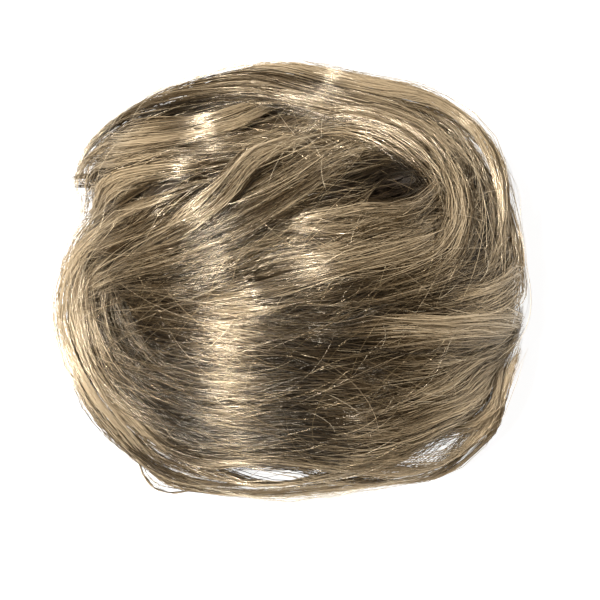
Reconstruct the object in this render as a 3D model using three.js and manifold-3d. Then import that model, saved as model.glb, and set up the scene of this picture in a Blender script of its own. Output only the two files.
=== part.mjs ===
// A top knot hairpiece: a shallow net cap with a comb sewn inside it, a hollow mass of hair over the cap,
// and the separate locks that are swept, looped and wrapped over that mass.
// Millimetres, +Z up. The crown is on top, the rim lies on z = 0, and the comb is on the -Y side.
import * as THREE from "three";
import { mergeVertices } from "three/addons/utils/BufferGeometryUtils.js";
import Module from "manifold-3d";

const wasm = await Module();
wasm.setup();

// Sizes of the dressed hair, over the locks
const HAIR_WIDTH = 130;
const HAIR_DEPTH = 117.5;
const HAIR_HEIGHT = 62;
const WIDEST_HEIGHT = 20;
const RIM_TUCK = 7;

// How thick the cover of locks is over the hair mass, at the crown and at the sides
const CROWN_COVER = 9.5;
const SIDE_COVER = 6;

// Sizes of a full lock, across and through
const LOCK_WIDTH = 16;
const LOCK_THICKNESS = 7;

// Sizes of the net cap, outside
const CAP_WIDTH = 88;
const CAP_DEPTH = 78;
const CAP_HEIGHT = 30;
const CAP_WALL = 1.2;

// Sizes of the comb
const COMB_WIDTH = 32;
const COMB_BASE_HEIGHT = 2.5;
const COMB_SPINE_HEIGHT = 4;
const COMB_TOOTH_LENGTH = 13;
const COMB_TOOTH_PITCH = 3.6;
const COMB_TOOTH_WIDTH = 1.5;
const COMB_THICKNESS = 1.5;
const COMB_TIP_SHARE = 0.6;

// Clearance between pieces that lie on each other
const GAP = 0.3;

// Squareness of the outline seen from above (2 is an ellipse) and roundness of the crown
const PLAN_POWER = 2.3;
const CROWN_POWER = 2.2;

// Facets
const LOCK_SIDES = 6;
const STATION_SPACING = 12;
const DOME_SIDES = 28;
const DOME_RINGS = 6;
const MASS_FALLS = [1, 0.6, 0.25];
const CAP_SIDES = 28;
const CAP_RINGS = 5;

// The locks, from the uppermost layer down, named for where they lie on the hairpiece.
// route: [x, y] or [x, y, fall]. x and y are shares of half the hair's width and depth, and fall is the share
//   of WIDEST_HEIGHT that a point has dropped below the widest outline.
// wide, thick: shares of LOCK_WIDTH and LOCK_THICKNESS. tips: share of the width left at the two ends.
// depth: where the lock's middle lies in the cover, from 0 on the dressed outline to 1 on the hair mass.
// sink: how much deeper the start and the end lie, in the same shares.
const LOCKS = [
  {
    name: "crossing_lock", wide: 0.5, thick: 0.7, depth: 0.3, tips: [0.5, 0.3], sink: [0.5, 0.3],
    route: [[0.06, 0.64], [-0.08, 0.58], [-0.19, 0.51], [-0.27, 0.4], [-0.37, 0.29], [-0.49, 0.2],
      [-0.6, 0.14]],
  },
  {
    name: "eye_ring_lock", wide: 0.45, thick: 0.7, depth: 0.35, tips: [0.4, 0.4], sink: [0.5, 0.5],
    route: [[0.02, 0.66], [0.1, 0.73], [0.22, 0.755], [0.34, 0.73], [0.46, 0.67], [0.56, 0.58], [0.64, 0.47],
      [0.67, 0.35]],
  },
  {
    name: "curl_lock", wide: 0.9, thick: 0.9, depth: 0.5, tips: [0.6, 0.4], sink: [0.7, 0.4],
    route: [[0.3, 0.6], [0.2, 0.56], [0.06, 0.46], [-0.08, 0.36], [-0.22, 0.27], [-0.38, 0.2], [-0.55, 0.12],
      [-0.7, 0.05], [-0.83, -0.03]],
  },
  {
    name: "long_left_lock", wide: 0.8, thick: 0.9, depth: 0.6, tips: [0.5, 0.4], sink: [0.6, 0.4],
    route: [[0.04, 0.28], [-0.06, 0.21], [-0.17, 0.14], [-0.3, 0.08], [-0.45, 0.03], [-0.6, 0], [-0.74, -0.04]],
  },
  {
    name: "under_eye_lock", wide: 0.75, thick: 0.9, depth: 0.55, tips: [0.4, 0.5], sink: [0.4, 0.7],
    route: [[0.58, 0.5], [0.56, 0.42], [0.47, 0.35], [0.35, 0.3], [0.21, 0.26], [0.07, 0.25], [-0.04, 0.23]],
  },
  {
    name: "middle_lock", wide: 0.95, thick: 0.9, depth: 0.6, tips: [0.5, 0.4], sink: [0.4, 0.5],
    route: [[0.71, 0.34], [0.66, 0.25], [0.56, 0.19], [0.44, 0.14], [0.3, 0.08], [0.15, 0.03], [0, -0.01],
      [-0.16, -0.06], [-0.33, -0.1], [-0.5, -0.12]],
  },
  {
    name: "right_loop_lock", wide: 0.7, thick: 0.8, depth: 0.5, tips: [0.4, 0.6], sink: [0.5, 0.1],
    route: [[0.1, -0.26], [0.27, -0.26], [0.43, -0.25], [0.59, -0.235], [0.75, -0.22], [0.88, -0.215],
      [0.965, -0.225]],
  },
  {
    name: "fan_lock_1", wide: 0.6, thick: 0.8, depth: 0.5, tips: [0.6, 0.5], sink: [0.2, 0.5],
    route: [[-0.89, 0.27], [-0.82, 0.34], [-0.72, 0.41], [-0.6, 0.46], [-0.47, 0.49], [-0.34, 0.51],
      [-0.22, 0.54]],
  },
  {
    name: "fan_lock_2", wide: 0.5, thick: 0.8, depth: 0.6, tips: [0.6, 0.5], sink: [0.2, 0.5],
    route: [[-0.87, 0.21], [-0.77, 0.27], [-0.66, 0.32], [-0.55, 0.37], [-0.44, 0.41], [-0.32, 0.44]],
  },
  {
    name: "fan_lock_3", wide: 0.5, thick: 0.8, depth: 0.7, tips: [0.6, 0.5], sink: [0.2, 0.5],
    route: [[-0.85, 0.12], [-0.74, 0.17], [-0.62, 0.23], [-0.5, 0.3], [-0.39, 0.36]],
  },
  {
    name: "upper_light_lock", wide: 0.6, thick: 0.8, depth: 0.5, tips: [0.5, 0.3], sink: [0.2, 0.4],
    route: [[-0.9, 0.51], [-0.8, 0.58], [-0.66, 0.62], [-0.5, 0.655], [-0.34, 0.69], [-0.2, 0.735],
      [-0.1, 0.79], [-0.03, 0.85]],
  },
  {
    name: "upper_second_lock", wide: 0.55, thick: 0.8, depth: 0.8, tips: [0.5, 0.5], sink: [0.2, 0.5],
    route: [[-0.84, 0.51], [-0.7, 0.54], [-0.56, 0.57], [-0.42, 0.585], [-0.28, 0.59], [-0.13, 0.62],
      [0, 0.67]],
  },
  {
    name: "left_tip_lock", wide: 0.55, thick: 0.7, depth: 0.9, tips: [0.5, 0.4], sink: [0, 0.4],
    route: [[-0.93, 0.47], [-0.84, 0.46], [-0.72, 0.48], [-0.6, 0.51]],
  },
  {
    name: "top_inner_lock", wide: 0.85, thick: 0.9, depth: 0.55, tips: [0.4, 0.4], sink: [0.3, 0.6],
    route: [[-0.88, 0.54], [-0.8, 0.65], [-0.68, 0.735], [-0.52, 0.805], [-0.34, 0.85], [-0.16, 0.86],
      [0.02, 0.83], [0.2, 0.79], [0.38, 0.74], [0.54, 0.66], [0.66, 0.54], [0.73, 0.41], [0.75, 0.27]],
  },
  {
    name: "shine_lock", wide: 0.6, thick: 0.8, depth: 0.95, tips: [0.5, 0.5], sink: [0.4, 0.4],
    route: [[0.42, 0.19], [0.3, 0.17], [0.16, 0.145], [0.04, 0.14], [-0.08, 0.15]],
  },
  {
    name: "right_swirl_lock", wide: 0.75, thick: 0.9, depth: 1.0, tips: [0.5, 0.5], sink: [0.3, 0.4],
    route: [[0.5, 0.64], [0.6, 0.55], [0.66, 0.45], [0.67, 0.34], [0.6, 0.26], [0.49, 0.22], [0.36, 0.21]],
  },
  {
    name: "top_rim_lock", wide: 0.9, thick: 0.9, depth: 0.35, tips: [0.3, 0.4], sink: [0.2, 0.6],
    route: [[-0.42, 0.86], [-0.22, 0.935], [0, 0.945], [0.2, 0.915], [0.4, 0.875], [0.58, 0.81], [0.73, 0.69],
      [0.83, 0.53], [0.88, 0.37], [0.89, 0.2], [0.84, 0.06]],
  },
  {
    name: "right_edge_lock", wide: 0.7, thick: 0.8, depth: 0.5, tips: [0.4, 0.4], sink: [0.2, 0.6],
    route: [[0.86, 0.47], [0.92, 0.32], [0.95, 0.17], [0.955, 0.04], [0.9, -0.06], [0.78, -0.12], [0.63, -0.15],
      [0.46, -0.17]],
  },
  {
    name: "right_dark_lock", wide: 0.8, thick: 0.9, depth: 0.95, tips: [0.5, 0.4], sink: [0.3, 0.4],
    route: [[0.78, 0.28], [0.72, 0.16], [0.62, 0.08], [0.49, 0.02], [0.35, -0.03], [0.19, -0.08], [0.02, -0.11],
      [-0.15, -0.14]],
  },
  {
    name: "right_band_lock", wide: 0.7, thick: 0.9, depth: 1.05, tips: [0.5, 0.4], sink: [0.2, 0.4],
    route: [[0.84, 0.1], [0.75, 0], [0.63, -0.06], [0.49, -0.1], [0.34, -0.13], [0.17, -0.16], [0, -0.19]],
  },
  {
    name: "right_return_lock", wide: 0.7, thick: 0.8, depth: 0.9, tips: [0.5, 0.4], sink: [0, 0.4],
    route: [[0.955, -0.29], [0.86, -0.325], [0.72, -0.35], [0.56, -0.37], [0.4, -0.39], [0.24, -0.4]],
  },
  {
    name: "lower_right_lock", wide: 1.0, thick: 0.9, depth: 0.6, tips: [0.5, 0.4], sink: [0.2, 0.4],
    route: [[0.925, -0.44], [0.89, -0.56], [0.81, -0.67], [0.68, -0.75], [0.53, -0.8], [0.37, -0.84],
      [0.2, -0.86]],
  },
  {
    name: "lower_band_lock", wide: 0.8, thick: 0.9, depth: 1.0, tips: [0.4, 0.5], sink: [0.4, 0.2],
    route: [[0.2, -0.5], [0.38, -0.49], [0.56, -0.47], [0.73, -0.45], [0.87, -0.45]],
  },
  {
    name: "left_edge_lock", wide: 0.75, thick: 0.9, depth: 0.35, tips: [0.5, 0.3], sink: [0.2, 0.2],
    route: [[-0.82, 0.24], [-0.89, 0.11], [-0.935, -0.03], [-0.945, -0.17], [-0.91, -0.32], [-0.85, -0.46],
      [-0.78, -0.59], [-0.69, -0.72], [-0.58, -0.84, 0.1], [-0.46, -0.93, 0.3]],
  },
  {
    name: "left_inner_lock", wide: 0.9, thick: 0.9, depth: 0.9, tips: [0.5, 0.4], sink: [0.3, 0.2],
    route: [[-0.8, 0.06], [-0.84, -0.08], [-0.84, -0.23], [-0.79, -0.38], [-0.72, -0.52], [-0.63, -0.65],
      [-0.51, -0.76], [-0.36, -0.84]],
  },
  {
    name: "centre_band_1", wide: 1.0, thick: 0.8, depth: 1.0, tips: [0.5, 0.6], sink: [0.2, 0.2],
    route: [[-0.7, -0.18], [-0.52, -0.19], [-0.34, -0.21], [-0.15, -0.235], [0.05, -0.26], [0.25, -0.3],
      [0.42, -0.32]],
  },
  {
    name: "centre_band_2", wide: 1.15, thick: 0.8, depth: 1.05, tips: [0.5, 0.6], sink: [0.2, 0.2],
    route: [[-0.76, -0.27], [-0.61, -0.33], [-0.44, -0.37], [-0.25, -0.39], [-0.05, -0.4], [0.16, -0.41],
      [0.38, -0.43], [0.56, -0.42]],
  },
  {
    name: "centre_band_3", wide: 1.15, thick: 0.8, depth: 0.95, tips: [0.5, 0.5], sink: [0.2, 0.2],
    route: [[-0.75, -0.37], [-0.63, -0.47], [-0.47, -0.54], [-0.28, -0.56], [-0.08, -0.56], [0.12, -0.56],
      [0.34, -0.58], [0.56, -0.56], [0.74, -0.5]],
  },
  {
    name: "centre_band_4", wide: 0.95, thick: 0.8, depth: 1.05, tips: [0.5, 0.5], sink: [0.2, 0.2],
    route: [[-0.7, -0.48], [-0.6, -0.59], [-0.45, -0.67], [-0.27, -0.7], [-0.07, -0.69], [0.13, -0.7],
      [0.35, -0.7], [0.56, -0.65], [0.74, -0.57]],
  },
  {
    name: "lower_edge_lock", wide: 0.7, thick: 0.8, depth: 0.9, tips: [0.5, 0.4], sink: [0.2, 0.2],
    route: [[-0.62, -0.69], [-0.49, -0.79], [-0.32, -0.84], [-0.15, -0.85], [0.03, -0.85], [0.2, -0.86],
      [0.36, -0.88]],
  },
  {
    name: "bottom_wrap_lock", wide: 0.3, thick: 0.6, depth: 0.5, tips: [0.7, 0.5], sink: [0.4, 0.4],
    route: [[-0.74, -0.68, 0.3], [-0.65, -0.82, 0.35], [-0.53, -0.93, 0.35], [-0.37, -0.965, 0.35],
      [-0.16, -0.97, 0.35], [0.04, -0.965, 0.35], [0.24, -0.945, 0.35], [0.43, -0.92, 0.35], [0.6, -0.87, 0.35],
      [0.75, -0.78, 0.3], [0.85, -0.66, 0.3], [0.91, -0.54, 0.2]],
  },
  {
    name: "side_wrap_back", wide: 0.8, thick: 0.7, depth: 0.8, tips: [0.5, 0.5], sink: [0.2, 0.2],
    route: [[0.8, 0.55, 0.35], [0.55, 0.85, 0.42], [0.2, 0.98, 0.45], [-0.15, 1, 0.45], [-0.5, 0.88, 0.42],
      [-0.78, 0.62, 0.35]],
  },
  {
    name: "side_wrap_left", wide: 0.8, thick: 0.7, depth: 0.8, tips: [0.5, 0.5], sink: [0.2, 0.2],
    route: [[-0.84, 0.5, 0.5], [-0.98, 0.2, 0.5], [-1, -0.1, 0.5], [-0.92, -0.4, 0.5], [-0.76, -0.66, 0.5]],
  },
  {
    name: "side_wrap_front", wide: 0.7, thick: 0.7, depth: 0.9, tips: [0.5, 0.5], sink: [0.2, 0.2],
    route: [[-0.66, -0.76, 0.65], [-0.36, -0.95, 0.7], [0, -1, 0.7], [0.36, -0.95, 0.7], [0.68, -0.74, 0.65]],
  },
  {
    name: "side_wrap_right", wide: 0.8, thick: 0.7, depth: 0.8, tips: [0.5, 0.5], sink: [0.2, 0.2],
    route: [[0.78, -0.62, 0.5], [0.94, -0.34, 0.5], [1, -0.02, 0.5], [0.95, 0.28, 0.5], [0.86, 0.48, 0.5]],
  },
];

// Hollows in the hair mass between the locks. at: shares as in a route. across: share of HAIR_WIDTH.
// deep: share of CROWN_COVER.
const DENTS = [
  { at: [0.42, 0.45], across: 0.12, deep: 0.7 },
  { at: [-0.12, 0.08], across: 0.08, deep: 0.4 },
  { at: [-0.72, -0.1], across: 0.12, deep: 0.4 },
  { at: [-0.22, 0.8], across: 0.09, deep: 0.4 },
];

// Share of a lock over which each end narrows and sinks, and the least share of its thickness at a tip
const END_SHARE = 0.3;
const THIN_END = 0.5;

// The fall down to which a lock may stand off the dome as a loose loop
const LOOSE_FALL = 0.4;

const smooth = (t) => {
  const c = Math.min(Math.max(t, 0), 1);
  return c * c * (3 - 2 * c);
};

// The dressed outline (depth 0), the hair mass (depth 1) or a dome between them: half sizes and crown height.
function domeAt(depth) {
  return {
    halfX: HAIR_WIDTH / 2 - depth * SIDE_COVER,
    halfY: HAIR_DEPTH / 2 - depth * SIDE_COVER,
    top: HAIR_HEIGHT - depth * CROWN_COVER,
  };
}

// How far out a plan point lies: 0 at the middle and 1 on the dome's widest outline.
function reachOf(dome, x, y) {
  const sum = Math.abs(x / dome.halfX) ** PLAN_POWER + Math.abs(y / dome.halfY) ** PLAN_POWER;
  return sum ** (1 / PLAN_POWER);
}

// How far the outline reaches below the widest height, where it is drawn in towards the rim.
function tuckedReach(dome, fall) {
  return 1 - (RIM_TUCK / dome.halfX) * fall * fall;
}

// The point of a dome over the plan shares x and y, or below its widest outline where fall is over 0.
// A wrap that falls past LOOSE_FALL is drawn in with the rim, and a loose loop above that stands off it.
function onDome(depth, x, y, fall) {
  const dome = domeAt(depth);
  const px = (x * HAIR_WIDTH) / 2;
  const py = (y * HAIR_DEPTH) / 2;
  const reach = reachOf(dome, px, py);
  const rise = Math.sqrt(Math.max(1 - reach ** CROWN_POWER, 0));
  const share = reach > 1 && fall > LOOSE_FALL ? tuckedReach(dome, fall) / reach : 1;
  const height = (WIDEST_HEIGHT + (dome.top - WIDEST_HEIGHT) * rise) * (1 - fall);
  return new THREE.Vector3(px * share, py * share, height);
}

// Zero on the dome's surface and growing outwards, above and below its widest height.
function outwardness(dome, p) {
  const reach = reachOf(dome, p.x, p.y);
  if (p.z >= WIDEST_HEIGHT) {
    return reach ** CROWN_POWER + ((p.z - WIDEST_HEIGHT) / (dome.top - WIDEST_HEIGHT)) ** 2 - 1;
  }
  return reach ** CROWN_POWER - tuckedReach(dome, 1 - p.z / WIDEST_HEIGHT) ** CROWN_POWER;
}

function outwardNormal(depth, p) {
  const dome = domeAt(depth);
  const step = 0.05;
  const slope = ["x", "y", "z"].map((axis) => {
    const ahead = p.clone();
    const behind = p.clone();
    ahead[axis] += step;
    behind[axis] -= step;
    return outwardness(dome, ahead) - outwardness(dome, behind);
  });
  return new THREE.Vector3(...slope).normalize();
}

// A closed solid skinned over rings of equal count, with a pole point beyond the first and the last ring.
function skin(rings, firstPole, lastPole) {
  const sides = rings[0].length;
  const points = [firstPole, ...rings.flat(), lastPole];
  const at = (ring, side) => 1 + ring * sides + (side % sides);
  const faces = [];
  for (let s = 0; s < sides; s++) {
    faces.push([0, at(0, s + 1), at(0, s)]);
    for (let r = 0; r + 1 < rings.length; r++) {
      faces.push([at(r, s), at(r, s + 1), at(r + 1, s + 1)], [at(r, s), at(r + 1, s + 1), at(r + 1, s)]);
    }
    faces.push([at(rings.length - 1, s), at(rings.length - 1, s + 1), points.length - 1]);
  }
  const geometry = new THREE.BufferGeometry().setFromPoints(points);
  geometry.setIndex(faces.flat());
  return solidOf(geometry);
}

// A manifold-3d solid with the faces of a three.js geometry, turned to face outwards.
function solidOf(geometry) {
  geometry.deleteAttribute("normal");
  geometry.deleteAttribute("uv");
  const merged = mergeVertices(geometry, 1e-4);
  const vertProperties = merged.attributes.position.array;
  const triVerts = new Uint32Array(merged.index.array);
  const build = () => new wasm.Manifold(new wasm.Mesh({ numProp: 3, vertProperties, triVerts }));
  const solid = build();
  if (solid.volume() > 0) return solid;
  for (let i = 0; i < triVerts.length; i += 3) [triVerts[i], triVerts[i + 1]] = [triVerts[i + 1], triVerts[i]];
  return build();
}

function geometryOf(solid) {
  const { numProp, vertProperties, triVerts } = solid.getMesh();
  const place = [];
  for (let i = 0; i < vertProperties.length; i += numProp) place.push(...vertProperties.slice(i, i + 3));
  const geometry = new THREE.BufferGeometry();
  geometry.setAttribute("position", new THREE.Float32BufferAttribute(place, 3));
  geometry.setIndex(new THREE.BufferAttribute(triVerts, 1));
  geometry.computeVertexNormals();
  return geometry;
}

// The largest body of a cut solid: a cut can leave crumbs at its edges.
function mainBody(solid) {
  return solid.decompose().reduce((best, body) => (body.volume() > best.volume() ? body : best));
}

// The stations of a lock: for each its middle, its own axes and its half width and half thickness.
function stationsOf(lock) {
  const middles = lock.route.map(([x, y, fall = 0], i) => {
    const t = i / (lock.route.length - 1);
    const startSink = lock.sink[0] * (1 - smooth(t / END_SHARE));
    const endSink = lock.sink[1] * (1 - smooth((1 - t) / END_SHARE));
    return onDome(lock.depth + startSink + endSink, x, y, fall);
  });
  const curve = new THREE.CatmullRomCurve3(middles, false, "centripetal");
  const count = Math.max(Math.round(curve.getLength() / STATION_SPACING), 5);
  return Array.from({ length: count + 1 }, (_, i) => {
    const t = i / count;
    const place = curve.getPointAt(t);
    const tangent = curve.getTangentAt(t);
    const across = new THREE.Vector3().crossVectors(outwardNormal(lock.depth, place), tangent).normalize();
    const out = new THREE.Vector3().crossVectors(tangent, across);
    const fullness =
      (lock.tips[0] + (1 - lock.tips[0]) * smooth(t / END_SHARE)) *
      (lock.tips[1] + (1 - lock.tips[1]) * smooth((1 - t) / END_SHARE));
    return {
      place,
      tangent,
      across,
      out,
      halfWidth: (lock.wide * LOCK_WIDTH * fullness) / 2,
      halfThickness: (lock.thick * LOCK_THICKNESS * Math.max(fullness, THIN_END)) / 2,
    };
  });
}

// A lock as a solid, grown on every side by a clearance.
function lockSolid(lock, grown = 0) {
  const stations = stationsOf(lock);
  const last = stations.length - 1;
  const rings = stations.map((station, i) => {
    const along = i === 0 ? -grown : i === last ? grown : 0;
    return Array.from({ length: LOCK_SIDES }, (_, k) => {
      const turn = (k / LOCK_SIDES) * Math.PI * 2;
      return station.place
        .clone()
        .addScaledVector(station.tangent, along)
        .addScaledVector(station.across, Math.cos(turn) * (station.halfWidth + grown))
        .addScaledVector(station.out, Math.sin(turn) * (station.halfThickness + grown));
    });
  });
  const pole = (station, way) =>
    station.place.clone().addScaledVector(station.tangent, way * (station.halfThickness / 2 + grown));
  return skin(rings, pole(stations[0], -1), pole(stations[last], 1));
}

// How much deeper the hair mass lies at a plan point, for the hollows between the locks.
function dentDepth(x, y) {
  return DENTS.reduce((sum, dent) => {
    const away = Math.hypot(x - (dent.at[0] * HAIR_WIDTH) / 2, y - (dent.at[1] * HAIR_DEPTH) / 2);
    return sum + dent.deep * CROWN_COVER * Math.exp(-((away / (dent.across * HAIR_WIDTH)) ** 2));
  }, 0);
}

// A ring round the Z axis, one point for each side, from a function of the bearing's cosine and sine.
function ringOf(sides, pointAt) {
  return Array.from({ length: sides }, (_, k) => {
    const bearing = (k / sides) * Math.PI * 2;
    return pointAt(Math.cos(bearing), Math.sin(bearing));
  });
}

// Rings of a plain oval dome from its rim on z = 0 to near its crown.
function ovalRings(halfX, halfY, top) {
  return Array.from({ length: CAP_RINGS }, (_, i) => {
    const climb = (i / CAP_RINGS) * (Math.PI / 2);
    const share = Math.cos(climb);
    const height = top * Math.sin(climb);
    return ringOf(CAP_SIDES, (c, s) => new THREE.Vector3(halfX * c * share, halfY * s * share, height));
  });
}

// The net cap, open underneath.
function capSolid() {
  const outer = ovalRings(CAP_WIDTH / 2, CAP_DEPTH / 2, CAP_HEIGHT);
  const inner = ovalRings(CAP_WIDTH / 2 - CAP_WALL, CAP_DEPTH / 2 - CAP_WALL, CAP_HEIGHT - CAP_WALL);
  const crown = (height) => new THREE.Vector3(0, 0, height);
  return skin([...inner.reverse(), ...outer], crown(CAP_HEIGHT - CAP_WALL), crown(CAP_HEIGHT));
}

// The filled dome of the cap's outside, grown by an offset and carried on a little below the rim.
function capDome(offset) {
  const rings = ovalRings(CAP_WIDTH / 2 + offset, CAP_DEPTH / 2 + offset, CAP_HEIGHT + offset);
  const below = rings[0].map((p) => new THREE.Vector3(p.x, p.y, -GAP));
  const crown = new THREE.Vector3(0, 0, CAP_HEIGHT + offset);
  return skin([below, ...rings], new THREE.Vector3(0, 0, -GAP), crown);
}

// The mass of hair under the locks, solid until the cap's room is taken out.
function massBlock() {
  const dome = domeAt(1);
  const under = MASS_FALLS.map((fall) =>
    ringOf(DOME_SIDES, (c, s) => {
      const share = tuckedReach(dome, fall) / reachOf(dome, c, s);
      return new THREE.Vector3(c * share, s * share, WIDEST_HEIGHT * (1 - fall));
    }),
  );
  const above = Array.from({ length: DOME_RINGS }, (_, i) => {
    const climb = (i / DOME_RINGS) * (Math.PI / 2);
    return ringOf(DOME_SIDES, (c, s) => {
      const share = Math.cos(climb) / reachOf(dome, c, s);
      const rise = Math.sqrt(1 - Math.cos(climb) ** CROWN_POWER);
      const height = WIDEST_HEIGHT + (dome.top - WIDEST_HEIGHT) * rise;
      return new THREE.Vector3(c * share, s * share, height - dentDepth(c * share, s * share) * rise);
    });
  });
  const crown = new THREE.Vector3(0, 0, dome.top - dentDepth(0, 0));
  return skin([...under, ...above], new THREE.Vector3(0, 0, 0), crown);
}

// A straight bar between two points with a rectangular section that narrows to its end.
function barSolid(start, end, across, width, thickness, endShare) {
  const along = end.clone().sub(start).normalize();
  const side = across.clone().addScaledVector(along, -across.dot(along)).normalize();
  const out = new THREE.Vector3().crossVectors(along, side);
  const ring = (place, share) =>
    [[-1, -1], [1, -1], [1, 1], [-1, 1]].map(([a, b]) =>
      place
        .clone()
        .addScaledVector(side, (a * share * width) / 2)
        .addScaledVector(out, (b * share * thickness) / 2),
    );
  return skin([ring(start, 1), ring(end, endShare)], start, end);
}

// The comb, in one piece: a curved spine on the cap's inner side and straight teeth that lean in with the cap.
function combSolid() {
  const seat = CAP_WALL + GAP + COMB_THICKNESS / 2;
  const halfX = CAP_WIDTH / 2 - seat;
  const halfY = CAP_DEPTH / 2 - seat;
  const top = CAP_HEIGHT - seat;
  // A point on the oval that the comb's middle plane follows, at a distance along the rim and a height.
  const place = (along, height) => {
    const bearing = -Math.PI / 2 + along / halfX;
    const share = Math.sqrt(1 - (height / top) ** 2);
    return new THREE.Vector3(halfX * share * Math.cos(bearing), halfY * share * Math.sin(bearing), height);
  };
  const spineMiddle = COMB_BASE_HEIGHT + COMB_SPINE_HEIGHT / 2;
  const spineTop = COMB_BASE_HEIGHT + COMB_SPINE_HEIGHT;
  const teeth = Math.floor(COMB_WIDTH / COMB_TOOTH_PITCH);
  const first = (-COMB_TOOTH_PITCH * teeth) / 2;
  const up = new THREE.Vector3(0, 0, 1);
  const bars = [];
  for (let i = 0; i <= teeth; i++) {
    const along = first + COMB_TOOTH_PITCH * i;
    if (i < teeth) {
      const start = place(along, spineMiddle);
      const end = place(along + COMB_TOOTH_PITCH, spineMiddle);
      const overlap = end.clone().sub(start).setLength(COMB_THICKNESS / 4);
      bars.push(barSolid(start.sub(overlap), end.add(overlap), up, COMB_SPINE_HEIGHT, COMB_THICKNESS, 1));
    }
    const root = place(along, spineTop - COMB_SPINE_HEIGHT / 4);
    const tip = place(along, spineTop + COMB_TOOTH_LENGTH);
    const beside = place(along + 1, spineTop).sub(place(along - 1, spineTop));
    bars.push(barSolid(root, tip, beside, COMB_TOOTH_WIDTH, COMB_THICKNESS, COMB_TIP_SHARE));
  }
  return bars.reduce((sum, bar) => sum.add(bar)).intersect(capDome(-CAP_WALL - GAP));
}

// Cuts the locks clear of those above them, and the mass clear of them all and of the cap.
function hairSolids() {
  const rooms = LOCKS.map((lock) => lockSolid(lock, GAP));
  const locks = LOCKS.map((lock, i) => {
    const cut = rooms.slice(0, i).reduce((solid, room) => solid.subtract(room), lockSolid(lock));
    return [lock.name, mainBody(cut.subtract(capDome(GAP)))];
  });
  const mass = rooms.reduce((solid, room) => solid.subtract(room), massBlock().subtract(capDome(GAP)));
  return [["hair_mass", mainBody(mass)], ...locks];
}

const HAIR = new THREE.MeshStandardMaterial({ color: 0x8a7554, roughness: 0.45, metalness: 0 });
const INNER_HAIR = new THREE.MeshStandardMaterial({ color: 0x574734, roughness: 0.6, metalness: 0 });
const NET = new THREE.MeshStandardMaterial({ color: 0x6b5a43, roughness: 0.85, metalness: 0 });
const COMB = new THREE.MeshStandardMaterial({ color: 0x5a4230, roughness: 0.35, metalness: 0 });

const hairpiece = new THREE.Group();

function addPiece(name, solid, material) {
  const mesh = new THREE.Mesh(geometryOf(solid), material);
  mesh.name = name;
  hairpiece.add(mesh);
}

addPiece("net_cap", capSolid(), NET);
addPiece("comb", combSolid(), COMB);
for (const [name, solid] of hairSolids()) addPiece(name, solid, name === "hair_mass" ? INNER_HAIR : HAIR);

// The frame's origin is under the middle of the whole piece, on the plane that it rests on.
const bounds = new THREE.Box3().setFromObject(hairpiece);
const middle = bounds.getCenter(new THREE.Vector3());
hairpiece.position.set(-middle.x, -middle.y, -bounds.min.z);

export default hairpiece;
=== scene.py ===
"""A top knot hairpiece, dressed: every lock is a bundle of single hairs, laid over a shaded under-layer
on a net cap with a comb. Metres, +Z up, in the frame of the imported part."""
import math
import bpy
import numpy as np
from mathutils import Matrix, Vector


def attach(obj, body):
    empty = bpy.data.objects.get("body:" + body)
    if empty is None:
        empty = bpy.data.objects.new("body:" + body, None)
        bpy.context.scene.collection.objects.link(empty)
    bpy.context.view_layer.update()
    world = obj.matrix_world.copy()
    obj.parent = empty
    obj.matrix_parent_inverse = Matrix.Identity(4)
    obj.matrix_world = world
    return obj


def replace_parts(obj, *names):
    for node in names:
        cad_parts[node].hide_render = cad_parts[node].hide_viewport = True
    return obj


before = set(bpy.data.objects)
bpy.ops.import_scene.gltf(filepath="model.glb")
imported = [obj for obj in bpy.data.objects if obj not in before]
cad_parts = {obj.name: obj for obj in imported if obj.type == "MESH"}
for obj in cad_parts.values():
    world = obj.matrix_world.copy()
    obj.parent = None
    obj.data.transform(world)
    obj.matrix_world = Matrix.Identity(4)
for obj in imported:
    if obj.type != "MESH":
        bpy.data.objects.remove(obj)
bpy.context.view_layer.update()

MM = 0.001

# Sizes of the dressed hair, as in the part
HALF_WIDTH = 65 * MM
HALF_DEPTH = 58.75 * MM
CROWN_HEIGHT = 62 * MM
WIDEST_HEIGHT = 20 * MM
RIM_TUCK = 7 * MM
CROWN_COVER = 9.5 * MM
SIDE_COVER = 6 * MM
LOCK_WIDTH = 16 * MM
LOCK_THICKNESS = 7 * MM
PLAN_POWER = 2.3
CROWN_POWER = 2.2
END_SHARE = 0.3
THIN_END = 0.5
LOOSE_FALL = 0.4

# Sizes of the net cap, and the gap that the hair and the comb keep to it
CAP_WIDTH = 88 * MM
CAP_DEPTH = 78 * MM
CAP_HEIGHT = 30 * MM
CAP_WALL = 1.2 * MM
CAP_GAP = 0.3 * MM
NET_SIDES = 120
NET_CLIMB = 0.98
SEWN_ROW_PACE = 44
SEWN_ROW_HEIGHT = 0.45
LOWEST_NET = 0.05 * MM

# The comb inside the front of the cap
COMB_WIDTH = 32 * MM
COMB_BASE_HEIGHT = 2.5 * MM
COMB_SPINE_HEIGHT = 4 * MM
COMB_TOOTH_LENGTH = 13 * MM
COMB_TOOTH_PITCH = 3.6 * MM
COMB_TOOTH_WIDTH = 1.5 * MM
COMB_THICKNESS = 1.5 * MM
SPINE_RINGS = 25
TOOTH_STEPS = (0, 0.15, 0.3, 0.45, 0.6, 0.75, 0.88, 0.95, 0.985, 1)
TOOTH_TAPER = (1.15, 1, 0.95, 0.9, 0.84, 0.78, 0.7, 0.6, 0.4, 0.15)

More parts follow.
